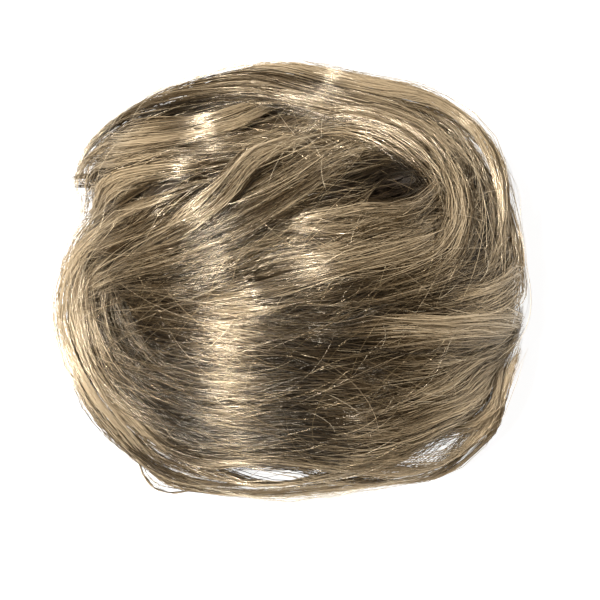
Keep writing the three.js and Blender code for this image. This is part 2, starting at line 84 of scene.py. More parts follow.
# Single hairs: how many for each millimetre of a lock's width, how thick, how finely bent
HAIRS_PER_MM = 17.5
HAIR_RADIUS = 0.09 * MM
SURFACE_HAIR_RADIUS = 0.055 * MM
FINE_HAIR_RADIUS = 0.035 * MM
HAIR_STEP = 7 * MM
HAIR_SIDES = 3
FEWEST_RINGS = 8
MOST_RINGS = 22
LOOSE_RINGS = 9
COURSE_STEPS = 64

# How thick single hairs are and how they thin to their ends, in shares of the radius, and their points
HAIR_RADII = (0.75, 1.2)
END_RADIUS = 0.3
TAPER_RATE = 6
HAIR_POINT = 0.4 * MM
SLANTED_WAY = (0.31, 0.17, 0.93)

# The two waves of a hair: the range of their pace, how much quicker the second is, the share of the first
WAVE_PACE = (0.4, 1)
QUICK_WAVE = 1.9
SLOW_SHARE = 0.65

# Clumps of a lock's hairs, and its twist and closing. Places and sways are shares of its half sizes.
CLUMPS_PER_MM = 0.9
FEWEST_CLUMPS = 5
CLUMP_REACH = 0.95
UPPER_CLUMPS = 0.8
CLUMP_SPREAD = 0.17
CLUMP_SWAY = 0.22
CLUMP_LIFT = 0.18
CLUMP_CYCLES = 1.4
CLUMP_LOOK = 0.45
CLOSING = 0.35
LOCK_TWIST = 0.5
TIP_DROOP = 0.6
# Painted shade: how much darker the hairs at a lock's edges and underside are
EDGE_SHADE = 0.38

# Where the hairs of a lock start and end, in shares of its course
SHORT_HAIRS = 0.3
SHORT_START = (0, 0.45)
SHORT_LENGTH = (0.35, 0.6)
LONG_START = (-0.06, 0.1)
EARLY_ENDS = 0.3
EARLY_END = (0.6, 0.9)
LATE_END = (0.88, 1.08)

# How far the hairs of a clump sway and lift, and how much more the strays do
HAIR_CYCLES = 2
HAIR_SWAY = 0.04
HAIR_LIFT = 0.05
STRAY_HAIRS = 0.17
STRAY_SPREAD = 0.45
STRAY_SWAY = 0.3
STRAY_LIFT = 0.35

# Hairs that follow the flow of the locks nearby, and those that run round the foot
FLOW_REACH = 6 * MM
PATCH_LIMIT = 0.97
COMBED_WAVE = 0.3 * MM
COMBED_CYCLES = 1.5
# Painted shade: how much darker hairs are for the depth they sink in the hollows
HOLLOW_SHADE = 0.7
FOOT_SWEEP = (0.4, 0.8)
BEYOND_RIM = 1.1

# The strip of the baked colours that each hair has
STRIPS_IN_A_COLUMN = 240
STRIP_ENDS = (0.02, 0.98)
STRIP_EDGE = 0.1
STRIP_WIDTH = 0.8
STRIP_TIP = 0.01

# The lowest that a hair reaches, and the under-layer's body: its foot, depth in the cover and rings
LOWEST_HAIR = 0.5 * MM
BODY_FOOT = 1.2 * MM
BODY_DEPTH = 1.2
BODY_SIDES = 96
BODY_CLIMB = 0.97

# Hair colours as 0 to 255, how far single hairs differ, and how they shine
LIGHT_BROWN = dict(
    deep=(34, 25, 14), middle=(84, 66, 42), light=(178, 157, 125),
    variation=1, refraction=2.3,
)
# Lighter colours for the fine hairs: painted light, for the light that shines through them
FINE_BROWN = dict(
    deep=(110, 92, 66), middle=(168, 146, 112), light=(225, 208, 178),
    variation=0.6, refraction=1.6,
)
# A darker copy of the hair colours for the hairs over the mass: painted shade under the locks
SHADED_BROWN = dict(
    deep=(24, 18, 12), middle=(70, 56, 39), light=(120, 100, 74),
    variation=0.5, refraction=1.5,
)
GLOSS_TINT = (1, 0.94, 0.8, 1)
TIP_LIGHTENING = 0.15
LEAST_ROUGHNESS = 0.16
OWN_ROUGHNESS = 0.12
SHADE_ROUGHNESS = 0.06
LEAST_METALLIC = 0.3
SHADE_METALLIC = 0.4

# The photograph's frame, seen from straight above, and the studio
PHOTO_PIXELS = 600
PIXELS_PER_MM = 478 / 130
MIDDLE_PIXEL = (292, 278)
CAMERA_HEIGHT = 1.2
SENSOR_WIDTH = 36
LIT_MIDDLE = (0, 0, 0.02)
FLOOR_HALF = 3.0
WARM_HORIZON = (0.6, 0.53, 0.43, 1)
DIM_ZENITH = (0.06, 0.055, 0.05, 1)
HORIZON_FADE = 1.6

# Where the random numbers of the locks, of the loose bundles and of all other hairs start
LOCK_SEED = 100
LOOSE_SEED = 500
OTHER_SEED = 7

# Hollows in the mass of hair: place and spread in shares of the half sizes, depth in shares of the cover
HOLLOWS = [
    ((0.42, 0.44), (0.17, 0.1), 1.9),
    ((-0.12, 0.08), (0.16, 0.1), 0.5),
    ((-0.72, -0.1), (0.2, 0.2), 0.4),
    ((-0.22, 0.8), (0.16, 0.12), 0.4),
]

# Partings that let what is below show: place in shares, angle in degrees, half length, widest push
PARTINGS = [
    ((0.43, 0.41), 22, 8 * MM, 3.3 * MM),
    ((-0.1, -0.905), 0, 16 * MM, 2.9 * MM),
    ((0.62, -0.81), 22, 14 * MM, 3.5 * MM),
    ((0.5, 0.86), -27, 9 * MM, 0.6 * MM),
    ((-0.55, 0.4), 21, 8 * MM, 1.4 * MM),
    ((-0.5, 0.185), 14, 11 * MM, 1.4 * MM),
]

# Where all hairs dip: place and spread in shares, and how far
DIPS = [
    ((0, 0.03), (0.15, 0.12), 2.6 * MM),
    ((-0.62, 0.57), (0.1, 0.08), 0.8 * MM),
]

# How steeply the dents grow towards the rim
DENT_POWER = 4

# Dents in the outline: bearing and half spread in degrees, and how far the rim is pressed in
DENTS = [
    (70, 20, 2.8 * MM),
    (12, 18, 2 * MM),
    (335, 9, 3.8 * MM),
    (163, 8, 4.5 * MM),
    (118, 14, 1.5 * MM),
    (318, 8, 1.6 * MM),
    (224, 10, 1.2 * MM),
]

# Painted light and shade on the hair: lighter places stand in for highlights and lit rims, darker ones for
# shade in hollows and between locks. Place and spread in shares, change of tint
PAINTED_LIGHT_AND_SHADE = [
    ((0.24, -0.36), (0.3, 0.26), -0.3),
    ((0.43, 0.44), (0.12, 0.08), -0.6),
    ((0.33, 0.68), (0.36, 0.13), 0.3),
    ((-0.68, -0.08), (0.13, 0.16), -0.15),
    ((0.27, -0.06), (0.14, 0.12), -0.3),
    ((-0.76, -0.72), (0.2, 0.18), 0.4),
    ((-0.5, 0.41), (0.14, 0.035), -0.35),
    ((-0.45, 0.2), (0.16, 0.035), -0.35),
    ((0.6, -0.5), (0.14, 0.2), 0.3),
    ((-0.7, 0.42), (0.16, 0.1), 0.3),
    ((-0.43, -0.62), (0.09, 0.2), -0.25),
    ((-0.26, -0.38), (0.07, 0.33), 0.35),
    ((-0.01, -0.48), (0.12, 0.45), -0.42),
    ((-0.52, -0.48), (0.17, 0.4), -0.4),
    ((-0.2, -0.02), (0.22, 0.12), -0.25),
    ((-0.25, 0.3), (0.18, 0.2), -0.2),
    ((0.2, -0.26), (0.12, 0.06), -0.4),
    ((0.72, 0.4), (0.12, 0.3), 0.3),
    ((-0.45, 0.75), (0.12, 0.1), -0.3),
    ((-0.4, 0.58), (0.12, 0.08), -0.3),
    ((0.15, 0.93), (0.14, 0.09), -0.5),
    ((-0.94, -0.15), (0.14, 0.5), 0.55),
    ((0.97, 0.1), (0.12, 0.4), 0.35),
    ((0.86, -0.62), (0.16, 0.3), 0.55),
    ((0.45, 0.93), (0.4, 0.1), 0.35),
    ((-0.1, -0.97), (0.6, 0.08), 0.45),
]

# The locks, from the uppermost layer down. Places and sizes are shares, as in the part.
# fill: share of the usual number of hairs. tips: width left at both ends. sink: how much deeper these lie.
# tint: 0 dark to 1 light, partly the lock's own colour, partly painted light and shade. route: x, y and,
# where it isn't 0, the fall below the widest outline.
LOCK_COLUMNS = ("name", "fill", "wide", "thick", "depth", "tips", "sink", "tint", "route")
LOCK_ROWS = [
    ("crossing_lock", 1, 0.5, 0.7, 0.3, (0.5, 0.3), (0.5, 0.3), 0.85, [
        (0.06, 0.64), (-0.08, 0.58), (-0.19, 0.51), (-0.27, 0.4), (-0.37, 0.29), (-0.49, 0.2),
        (-0.6, 0.14)]),
    ("eye_ring_lock", 1, 0.45, 0.7, 0.35, (0.4, 0.4), (0.5, 0.5), 0.42, [
        (0.02, 0.66), (0.1, 0.73), (0.22, 0.755), (0.34, 0.73), (0.46, 0.67), (0.56, 0.58), (0.64, 0.47),
        (0.67, 0.35)]),
    ("curl_lock", 1, 0.9, 0.9, 0.5, (0.6, 0.4), (0.7, 0.4), 0.6, [
        (0.3, 0.6), (0.2, 0.56), (0.06, 0.46), (-0.08, 0.36), (-0.22, 0.27), (-0.38, 0.2), (-0.55, 0.12),
        (-0.7, 0.05), (-0.83, -0.03)]),
    ("long_left_lock", 1, 0.8, 0.9, 0.6, (0.5, 0.4), (0.6, 0.4), 0.62, [
        (0.04, 0.28), (-0.06, 0.21), (-0.17, 0.14), (-0.3, 0.08), (-0.45, 0.03), (-0.6, 0),
        (-0.74, -0.04)]),
    ("under_eye_lock", 1, 0.75, 0.9, 0.55, (0.4, 0.5), (0.4, 0.1), 0.45, [
        (0.58, 0.5), (0.56, 0.42), (0.47, 0.35), (0.35, 0.3), (0.21, 0.26), (0.07, 0.25), (-0.04, 0.23)]),
    ("middle_lock", 1, 0.95, 0.9, 0.6, (0.5, 0.4), (0.4, 0.5), 0.62, [
        (0.71, 0.34), (0.66, 0.25), (0.56, 0.19), (0.44, 0.14), (0.3, 0.08), (0.15, 0.03), (0, -0.01),
        (-0.16, -0.06), (-0.33, -0.1), (-0.5, -0.12)]),
    ("right_loop_lock", 1, 0.7, 0.8, 0.5, (0.4, 0.6), (0, 0.1), 0.75, [
        (0.1, -0.26), (0.27, -0.26), (0.43, -0.25), (0.59, -0.235), (0.75, -0.22), (0.88, -0.215),
        (0.965, -0.225)]),
    ("fan_lock_1", 1, 0.6, 0.8, 0.5, (0.6, 0.5), (0.2, 0.5), 0.6, [
        (-0.89, 0.27), (-0.82, 0.34), (-0.72, 0.41), (-0.6, 0.46), (-0.47, 0.49), (-0.34, 0.51),
        (-0.22, 0.54)]),
    ("fan_lock_2", 1, 0.5, 0.8, 0.6, (0.6, 0.5), (0.2, 0.5), 0.5, [
        (-0.87, 0.21), (-0.77, 0.27), (-0.66, 0.32), (-0.55, 0.37), (-0.44, 0.41), (-0.32, 0.44)]),
    ("fan_lock_3", 1, 0.5, 0.8, 0.7, (0.6, 0.5), (0.2, 0.5), 0.42, [
        (-0.85, 0.12), (-0.74, 0.17), (-0.62, 0.23), (-0.5, 0.3), (-0.39, 0.36)]),
    ("upper_light_lock", 1, 0.6, 0.8, 0.5, (0.5, 0.3), (0.2, 0.4), 0.75, [
        (-0.9, 0.51), (-0.8, 0.58), (-0.66, 0.62), (-0.5, 0.655), (-0.34, 0.69), (-0.2, 0.735),
        (-0.1, 0.79), (-0.03, 0.85)]),
    ("upper_second_lock", 1, 0.55, 0.8, 0.8, (0.5, 0.5), (0.2, 0.5), 0.55, [
        (-0.84, 0.51), (-0.7, 0.54), (-0.56, 0.57), (-0.42, 0.585), (-0.28, 0.59), (-0.13, 0.62),
        (0, 0.67)]),
    ("left_tip_lock", 1, 0.55, 0.7, 0.9, (0.5, 0.4), (0, 0.4), 0.35, [
        (-0.93, 0.47), (-0.84, 0.46), (-0.72, 0.48), (-0.6, 0.51)]),
    ("top_inner_lock", 1, 0.85, 0.9, 0.55, (0.4, 0.4), (0.3, 0.6), 0.5, [
        (-0.88, 0.54), (-0.8, 0.65), (-0.68, 0.735), (-0.52, 0.805), (-0.34, 0.85), (-0.16, 0.86),
        (0.02, 0.83), (0.2, 0.79), (0.38, 0.74), (0.54, 0.66), (0.66, 0.54), (0.73, 0.41), (0.75, 0.27)]),
    ("shine_lock", 1, 0.6, 0.8, 0.95, (0.5, 0.5), (0.4, 0), 0.7, [
        (0.42, 0.19), (0.3, 0.17), (0.16, 0.145), (0.04, 0.14), (-0.08, 0.15)]),
    ("right_swirl_lock", 1, 0.75, 0.9, 1, (0.5, 0.5), (0.3, 0.4), 0.5, [
        (0.5, 0.64), (0.6, 0.55), (0.66, 0.45), (0.67, 0.34), (0.6, 0.26), (0.49, 0.22), (0.36, 0.21)]),
    ("top_rim_lock", 0.9, 0.9, 0.9, 0.35, (0.3, 0.4), (0.2, 0.6), 0.8, [
        (-0.42, 0.86), (-0.22, 0.935), (0, 0.945), (0.2, 0.915), (0.4, 0.875), (0.58, 0.81), (0.73, 0.69),
        (0.83, 0.53), (0.88, 0.37), (0.89, 0.2), (0.84, 0.06)]),
    ("right_edge_lock", 0.75, 0.7, 0.8, 0.5, (0.4, 0.4), (0.2, 0.6), 0.75, [
        (0.86, 0.47), (0.92, 0.32), (0.95, 0.17), (0.955, 0.04), (0.9, -0.06), (0.78, -0.12), (0.63, -0.15),
        (0.46, -0.17)]),
    ("right_dark_lock", 1, 0.8, 0.9, 0.95, (0.5, 0.4), (0.3, 0.4), 0.33, [
        (0.78, 0.28), (0.72, 0.16), (0.62, 0.08), (0.49, 0.02), (0.35, -0.03), (0.19, -0.08), (0.02, -0.11),
        (-0.15, -0.14)]),
    ("right_band_lock", 1, 0.7, 0.9, 1.05, (0.5, 0.4), (0.2, 0.4), 0.33, [
        (0.84, 0.1), (0.75, 0), (0.63, -0.06), (0.49, -0.1), (0.34, -0.13), (0.17, -0.16), (0, -0.19)]),
    ("right_return_lock", 1, 0.7, 0.8, 0.9, (0.5, 0.4), (0, 0.1), 0.45, [
        (0.955, -0.29), (0.86, -0.325), (0.72, -0.35), (0.56, -0.37), (0.4, -0.39), (0.24, -0.4)]),
    ("lower_right_lock", 1, 1, 0.9, 0.6, (0.5, 0.4), (0.2, 0.1), 0.65, [
        (0.925, -0.44), (0.89, -0.56), (0.81, -0.67), (0.68, -0.75), (0.53, -0.8), (0.37, -0.84),
        (0.2, -0.86)]),
    ("lower_band_lock", 1, 0.8, 0.9, 1, (0.4, 0.5), (0.1, 0.2), 0.35, [
        (0.2, -0.5), (0.38, -0.49), (0.56, -0.47), (0.73, -0.45), (0.87, -0.45)]),
    ("left_edge_lock", 0.35, 0.75, 0.9, 0.35, (0.5, 0.3), (0.2, 0.2), 0.85, [
        (-0.82, 0.24), (-0.89, 0.11), (-0.935, -0.03), (-0.945, -0.17), (-0.91, -0.32), (-0.85, -0.46),
        (-0.78, -0.59), (-0.69, -0.72), (-0.58, -0.84, 0.1), (-0.46, -0.93, 0.3)]),
    ("left_inner_lock", 1, 0.9, 0.9, 0.9, (0.5, 0.4), (0.3, 0.2), 0.7, [
        (-0.8, 0.06), (-0.84, -0.08), (-0.84, -0.23), (-0.79, -0.38), (-0.72, -0.52), (-0.63, -0.65),
        (-0.51, -0.76), (-0.36, -0.84)]),
    ("centre_band_1", 1, 1, 0.8, 1, (0.5, 0.6), (0.2, 0.2), 0.4, [
        (-0.7, -0.18), (-0.52, -0.19), (-0.34, -0.21), (-0.15, -0.235), (0.05, -0.26), (0.25, -0.3),
        (0.42, -0.32)]),
    ("centre_band_2", 1, 1.15, 0.8, 1.05, (0.5, 0.6), (0.2, 0.2), 0.33, [
        (-0.76, -0.27), (-0.61, -0.33), (-0.44, -0.37), (-0.25, -0.39), (-0.05, -0.4), (0.16, -0.41),
        (0.38, -0.43), (0.56, -0.42)]),
    ("centre_band_3", 1, 1.15, 0.8, 0.95, (0.5, 0.5), (0.2, 0.2), 0.3, [
        (-0.75, -0.37), (-0.63, -0.47), (-0.47, -0.54), (-0.28, -0.56), (-0.08, -0.56), (0.12, -0.56),
        (0.34, -0.58), (0.56, -0.56), (0.74, -0.5)]),
    ("centre_band_4", 1, 0.95, 0.8, 1.05, (0.5, 0.5), (0.2, 0.2), 0.33, [
        (-0.7, -0.48), (-0.6, -0.59), (-0.45, -0.67), (-0.27, -0.7), (-0.07, -0.69), (0.13, -0.7),
        (0.35, -0.7), (0.56, -0.65), (0.74, -0.57)]),
    ("lower_edge_lock", 1, 0.7, 0.8, 0.9, (0.5, 0.4), (0.2, 0.2), 0.5, [
        (-0.62, -0.69), (-0.49, -0.79), (-0.32, -0.84), (-0.15, -0.85), (0.03, -0.85), (0.2, -0.86),
        (0.36, -0.88)]),
    ("bottom_wrap_lock", 0.75, 0.3, 0.6, 0.5, (0.7, 0.5), (0.4, 0.4), 0.55, [
        (-0.74, -0.68, 0.3), (-0.65, -0.82, 0.35), (-0.53, -0.93, 0.35), (-0.37, -0.965, 0.35),
        (-0.16, -0.97, 0.35), (0.04, -0.965, 0.35), (0.24, -0.945, 0.35), (0.43, -0.92, 0.35),
        (0.6, -0.87, 0.35), (0.75, -0.78, 0.3), (0.85, -0.66, 0.3), (0.91, -0.54, 0.2)]),
    ("side_wrap_back", 1, 0.8, 0.7, 0.8, (0.5, 0.5), (0.2, 0.2), 0.65, [
        (0.8, 0.55, 0.35), (0.55, 0.85, 0.42), (0.2, 0.98, 0.45), (-0.15, 1, 0.45), (-0.5, 0.88, 0.42),
        (-0.78, 0.62, 0.35)]),
    ("side_wrap_left", 0.35, 0.8, 0.7, 0.8, (0.5, 0.5), (0.2, 0.2), 0.8, [
        (-0.84, 0.5, 0.5), (-0.98, 0.2, 0.5), (-1, -0.1, 0.5), (-0.92, -0.4, 0.5), (-0.76, -0.66, 0.5)]),
    ("side_wrap_front", 1, 0.7, 0.7, 0.9, (0.5, 0.5), (0.2, 0.2), 0.65, [
        (-0.66, -0.76, 0.65), (-0.36, -0.95, 0.7), (0, -1, 0.7), (0.36, -0.95, 0.7), (0.68, -0.74, 0.65)]),
    ("side_wrap_right", 0.6, 0.8, 0.7, 0.8, (0.5, 0.5), (0.2, 0.2), 0.7, [
        (0.78, -0.62, 0.5), (0.94, -0.34, 0.5), (1, -0.02, 0.5), (0.95, 0.28, 0.5), (0.86, 0.48, 0.5)]),
]

# Loose bundles that lie apart from the locks, in the same way but with the number of their hairs
LOOSE_COLUMNS = ("name", "hairs", *LOCK_COLUMNS[2:])
LOOSE_ROWS = [
    ("small_loop", 16, 0.14, 0.25, 0.4, (0.6, 0.5), (0.3, 0.2), 0.75, [
        (-0.67, -0.78, 0.2), (-0.64, -0.88, 0.25), (-0.585, -0.965, 0.3), (-0.51, -0.99, 0.35),
        (-0.42, -0.975, 0.35), (-0.3, -0.95, 0.3)]),
    ("lower_left_sweep", 210, 0.75, 0.8, 0.8, (0.7, 0.4), (0.2, 0.3), 0.4, [
        (-0.9, -0.42), (-0.8, -0.63), (-0.67, -0.79), (-0.52, -0.88), (-0.36, -0.925), (-0.2, -0.94)]),
    ("lower_left_inner", 130, 0.8, 0.6, 0.95, (0.6, 0.4), (0.2, 0.3), 0.5, [
        (-0.82, -0.3), (-0.74, -0.52), (-0.62, -0.68), (-0.47, -0.78), (-0.3, -0.83), (-0.12, -0.85)]),
    ("bottom_fill", 60, 0.35, 0.5, 0.8, (0.6, 0.5), (0.3, 0.3), 0.5, [
        (0, -0.88, 0.1), (0.15, -0.92, 0.15), (0.3, -0.925, 0.2), (0.45, -0.9, 0.25)]),
    ("left_wisps", 40, 0.7, 0.8, 0.7, (0.6, 0.6), (0.4, -0.3), 0.7, [
        (-0.6, 0.32), (-0.72, 0.35), (-0.83, 0.36), (-0.92, 0.33), (-0.96, 0.27)]),
    ("left_tip_wisps", 40, 0.6, 0.7, 0.7, (0.6, 0.7), (0.4, -0.3), 0.55, [
        (-0.6, 0.6), (-0.73, 0.57), (-0.84, 0.53), (-0.9, 0.48), (-0.93, 0.4)]),
    ("left_fill_outer", 190, 1, 0.9, 0.8, (0.5, 0.5), (0.3, 0.3), 0.35, [
        (-0.84, 0.06), (-0.85, -0.12), (-0.8, -0.32), (-0.68, -0.5), (-0.5, -0.62), (-0.3, -0.68)]),
    ("left_fill_inner", 170, 1, 0.7, 0.85, (0.5, 0.5), (0.3, 0.4), 0.3, [
        (-0.76, 0.02), (-0.75, -0.14), (-0.68, -0.3), (-0.54, -0.43), (-0.36, -0.5), (-0.15, -0.52)]),
    ("right_fill", 230, 1.1, 0.8, 0.6, (0.6, 0.5), (0.2, 0), 0.5, [
        (0.95, -0.3), (0.88, -0.44), (0.78, -0.56), (0.63, -0.66), (0.45, -0.72), (0.25, -0.77)]),
    ("eye_return", 170, 0.9, 0.7, 0.6, (0.5, 0.4), (0.5, 0.2), 0.5, [
        (0.52, 0.6), (0.65, 0.46), (0.7, 0.28), (0.64, 0.12), (0.48, 0.02), (0.28, -0.05), (0.08, -0.1)]),
    ("ring_tail", 110, 0.6, 0.6, 0.4, (0.5, 0.4), (0.5, 0.4), 0.42, [
        (0.52, 0.64), (0.62, 0.53), (0.68, 0.38), (0.68, 0.22), (0.61, 0.09), (0.48, 0.01)]),
    ("right_rim_fill", 170, 0.6, 1.2, 1, (0.6, 0.5), (0.2, 0.1), 0.65, [
        (0.96, -0.34), (0.92, -0.48), (0.83, -0.62), (0.68, -0.73), (0.5, -0.8), (0.3, -0.84)]),
    ("right_outer_strand", 60, 0.35, 0.5, 0.6, (0.6, 0.5), (0.3, 0.3), 0.85, [
        (0.94, -0.42, 0.1), (0.92, -0.56, 0.2), (0.86, -0.71, 0.3), (0.73, -0.83, 0.3), (0.56, -0.91, 0.3),
        (0.36, -0.955, 0.3)]),
    ("above_pocket", 110, 0.6, 0.6, 0.75, (0.5, 0.4), (0.3, 0.3), 0.35, [
        (0.1, 0.5), (0.24, 0.57), (0.4, 0.575), (0.54, 0.51), (0.62, 0.38), (0.62, 0.25)]),
    ("right_diagonal", 230, 1.1, 0.7, 0.6, (0.6, 0.5), (0.2, 0.1), 0.4, [
        (0.96, -0.2), (0.9, -0.34), (0.78, -0.48), (0.6, -0.58), (0.4, -0.64), (0.2, -0.68)]),
    ("over_eye", 30, 0.5, 0.4, 0.25, (0.5, 0.4), (0.6, 0.8), 0.6, [
        (0.1, 0.66), (0.22, 0.68), (0.36, 0.64), (0.5, 0.54), (0.6, 0.4), (0.62, 0.24)]),
    ("under_eye", 50, 0.6, 0.4, 0.5, (0.5, 0.4), (0.1, 0.6), 0.7, [
        (0.2, 0.24), (0.32, 0.3), (0.44, 0.34), (0.55, 0.4), (0.62, 0.5)]),
]

# Hairs round the foot: number, depth in the cover, lowest and highest start, inset in shares, tint
FOOT_ROWS = [
    (260, 1.05, 0.2 * MM, 4 * MM, 0, 0.35),
    (200, 0.9, 0.2 * MM, 6 * MM, 0, 0.5),
    (400, 1.05, -0.5 * MM, 0.6 * MM, 0.13, 0.4),
]

# Hairs combed over the mass, in the eye and round the sides, where fewer lie at the left
OVER_MASS = dict(depth=1.03, length=50 * MM, rings=10, drift=8, lift=0.5 * MM, tint=0.3)
# The hairs in the eye have the darkest tint: painted shade in the pocket
IN_EYE = dict(depth=1, length=30 * MM, rings=8, drift=8, lift=0.5 * MM, tint=0)
ROUND_SIDES = dict(depth=0.75, length=60 * MM, rings=11, drift=8, lift=0.5 * MM, tint=0.5)
SIDE_HAIRS = 900
LEFT_SIDE_EDGE = -0.8
LEFT_SIDE_SHARE = 0.4

# Patches of combed hairs: number, middle and spread in shares, depth, length, rings, drift, lift, tint
SIDE_PATCHES = [
    (320, (0.76, 0.25), (0.1, 0.35), 0.8, 45 * MM, 10, 8, 0.8 * MM, 0.5),
    (120, (-0.76, -0.3), (0.08, 0.25), 0.85, 40 * MM, 10, 10, 0.8 * MM, 0.35),
]

# Hairs on the surface, flying off it and round the rim
ON_SURFACE = dict(depth=0.38, length=42 * MM, turn=0.1, curl=12, lift=0.5 * MM, tint=0.55)
FLYING = dict(depth=0.35, length=30 * MM, turn=0.28, curl=22, lift=1.2 * MM, tint=0.35)
ROUND_RIM = dict(depth=0, length=34 * MM, turn=0.12, curl=8, lift=2 * MM, tint=0.7)

# Patches of flyaway hairs: number, middle and spread in shares, depth, length, turn, curl, lift, tint
FLYAWAY_PATCHES = [
    (60, (0.15, -0.4), (0.4, 0.27), 0.4, 12 * MM, 0.6, 60, 1.4 * MM, 0.85),
    (70, (-0.66, -0.12), (0.1, 0.12), 0.65, 16 * MM, 0.8, 50, 1.5 * MM, 0.1),
    (45, (0.03, 0.7), (0.07, 0.04), 0.25, 11 * MM, 0.9, 60, 1.5 * MM, 0.5),
    (26, (0.42, 0.45), (0.15, 0.1), 0.7, 20 * MM, 0.6, 30, 1 * MM, 0.5),
]

# Notches that stay free of rim hairs: the x beyond which they lie, their middle and half height, in shares
RIM_NOTCHES = [
    (-0.7, 0.38, 0.25),
    (0.8, -0.25, 0.3),
]

LOCKS = [dict(zip(LOCK_COLUMNS, row)) for row in LOCK_ROWS]
LOOSE = [dict(zip(LOOSE_COLUMNS, row)) for row in LOOSE_ROWS]

# Shapes of the dressed dome


def smooth(t):
    c = np.clip(t, 0, 1)
    return c * c * (3 - 2 * c)


def unit(v):
    return v / np.maximum(np.linalg.norm(v, axis=-1, keepdims=True), 1e-12)


def square_to(way, normal):
    """Directions turned until they stand square to others."""
    return unit(way - normal * (way * normal).sum(-1, keepdims=True))


def nearness(x, y, at, spread):
    """1 at a place of the plan, given in shares, and falling off round it."""
    off_x = (x / HALF_WIDTH - at[0]) / spread[0]
    off_y = (y / HALF_DEPTH - at[1]) / spread[1]
    return np.exp(-(off_x**2) - off_y**2)


def dome_sizes(depth):
    """Half width, half depth and crown height of the dome at a depth in the cover, 0 outside, 1 inside."""
    inset = depth * SIDE_COVER
    return HALF_WIDTH - inset, HALF_DEPTH - inset, CROWN_HEIGHT - depth * CROWN_COVER


def reach_of(x, y, half_x, half_y):
    return (np.abs(x / half_x) ** PLAN_POWER + np.abs(y / half_y) ** PLAN_POWER) ** (1 / PLAN_POWER)


def on_dome(depth, x, y, fall):
    """The points of a dome over plan shares x and y, or below its widest outline where fall is over 0."""
    half_x, half_y, top = dome_sizes(depth)
    px = x * HALF_WIDTH
    py = y * HALF_DEPTH
    reach = reach_of(px, py, half_x, half_y)
    rise = np.sqrt(np.clip(1 - reach**CROWN_POWER, 0, None))
    tucked = (1 - RIM_TUCK / half_x * fall**2) / np.maximum(reach, 1e-6)
    share = np.where((reach > 1) & (fall > LOOSE_FALL), tucked, 1)
    height = (WIDEST_HEIGHT + (top - WIDEST_HEIGHT) * rise) * (1 - fall)
    return np.stack([px * share, py * share, height], -1)


def outwardness(depth, p):
    """Zero on a dome's surface and growing outwards."""
    half_x, half_y, top = dome_sizes(depth)
    reach = reach_of(p[..., 0], p[..., 1], half_x, half_y) ** CROWN_POWER
    above = reach + (np.maximum(p[..., 2] - WIDEST_HEIGHT, 0) / (top - WIDEST_HEIGHT)) ** 2 - 1
    fall = np.clip(1 - p[..., 2] / WIDEST_HEIGHT, 0, 1)
    below = reach - (1 - RIM_TUCK / half_x * fall**2) ** CROWN_POWER
    return np.where(p[..., 2] >= WIDEST_HEIGHT, above, below)


def outward_slope(depth, p):
    step = 0.05 * MM
    slopes = []
    for axis in range(3):
        shift = np.zeros(3)
        shift[axis] = step
        slopes.append((outwardness(depth, p + shift) - outwardness(depth, p - shift)) / (2 * step))
    return np.stack(slopes, -1)


def drawn_onto(depth, p):
    """Points moved along the dome's slope until they lie on it."""
    for _ in range(3):
        slope = outward_slope(depth, p)
        off = outwardness(depth, p)
        p = p - slope * (off / np.maximum((slope**2).sum(-1), 1e-9))[..., None]
        p[..., 2] = np.maximum(p[..., 2], LOWEST_HAIR)
    return p


def hollow_depth(x, y):
    """How far the hollows lower the mass of hair at a point of the plan."""
    total = 0
    for at, spread, deep in HOLLOWS:
        total = total + deep * CROWN_COVER * nearness(x, y, at, spread)
    reach = reach_of(x, y, HALF_WIDTH, HALF_DEPTH)
    return total * np.sqrt(np.clip(1 - reach**CROWN_POWER, 0, 1))


def smooth_path(points, count):
    """A smooth curve through a few points, at even steps along it."""
    gaps = np.linalg.norm(np.diff(points, axis=0), axis=1)
    at = np.concatenate([[0], np.cumsum(gaps)])
    slopes = np.gradient(points, at, axis=0)
    even = np.linspace(0, at[-1], count)
    k = np.clip(np.searchsorted(at, even, side="right") - 1, 0, len(points) - 2)
    gap = (at[k + 1] - at[k])[:, None]
    s = (even[:, None] - at[k][:, None]) / gap
    start = (1 + 2 * s) * (1 - s) ** 2 * points[k] + s * (1 - s) ** 2 * gap * slopes[k]
    end = s**2 * (3 - 2 * s) * points[k + 1] - s**2 * (1 - s) * gap * slopes[k + 1]
    return start + end


# Courses of the locks


def lock_course(lock):
    """The middle line of a lock with its own axes and half sizes at each step."""
    route = np.array([(*p, 0) if len(p) == 2 else p for p in lock["route"]], float)
    t = np.linspace(0, 1, len(route))
    first, last = lock["sink"]
    sink = first * (1 - smooth(t / END_SHARE)) + last * (1 - smooth((1 - t) / END_SHARE))
    middles = np.stack([on_dome(lock["depth"] + s, *p) for s, p in zip(sink, route)])
    path = smooth_path(middles, COURSE_STEPS)
    tangent = unit(np.gradient(path, axis=0))
    across = unit(np.cross(outward_slope(lock["depth"], path), tangent))
    t = np.linspace(0, 1, COURSE_STEPS)
    start, end = lock["tips"]
    fullness = start + (1 - start) * smooth(t / END_SHARE)
    fullness = fullness * (end + (1 - end) * smooth((1 - t) / END_SHARE))
    return dict(
        path=path,
        tangent=tangent,
        across=across,
        out=np.cross(tangent, across),
        half_width=lock["wide"] * LOCK_WIDTH * fullness / 2,
        half_thickness=lock["thick"] * LOCK_THICKNESS * np.maximum(fullness, THIN_END) / 2,
        length=np.linalg.norm(np.diff(path, axis=0), axis=1).sum(),
    )


def along_course(values, t):
    """Values of a course at shares t of its length, held at its ends."""
    at = np.clip(t, 0, 1) * (COURSE_STEPS - 1)
    k = np.minimum(at.astype(int), COURSE_STEPS - 2)
    w = at - k
    if values.ndim == 2:
        w = w[..., None]
    return values[k] * (1 - w) + values[k + 1] * w


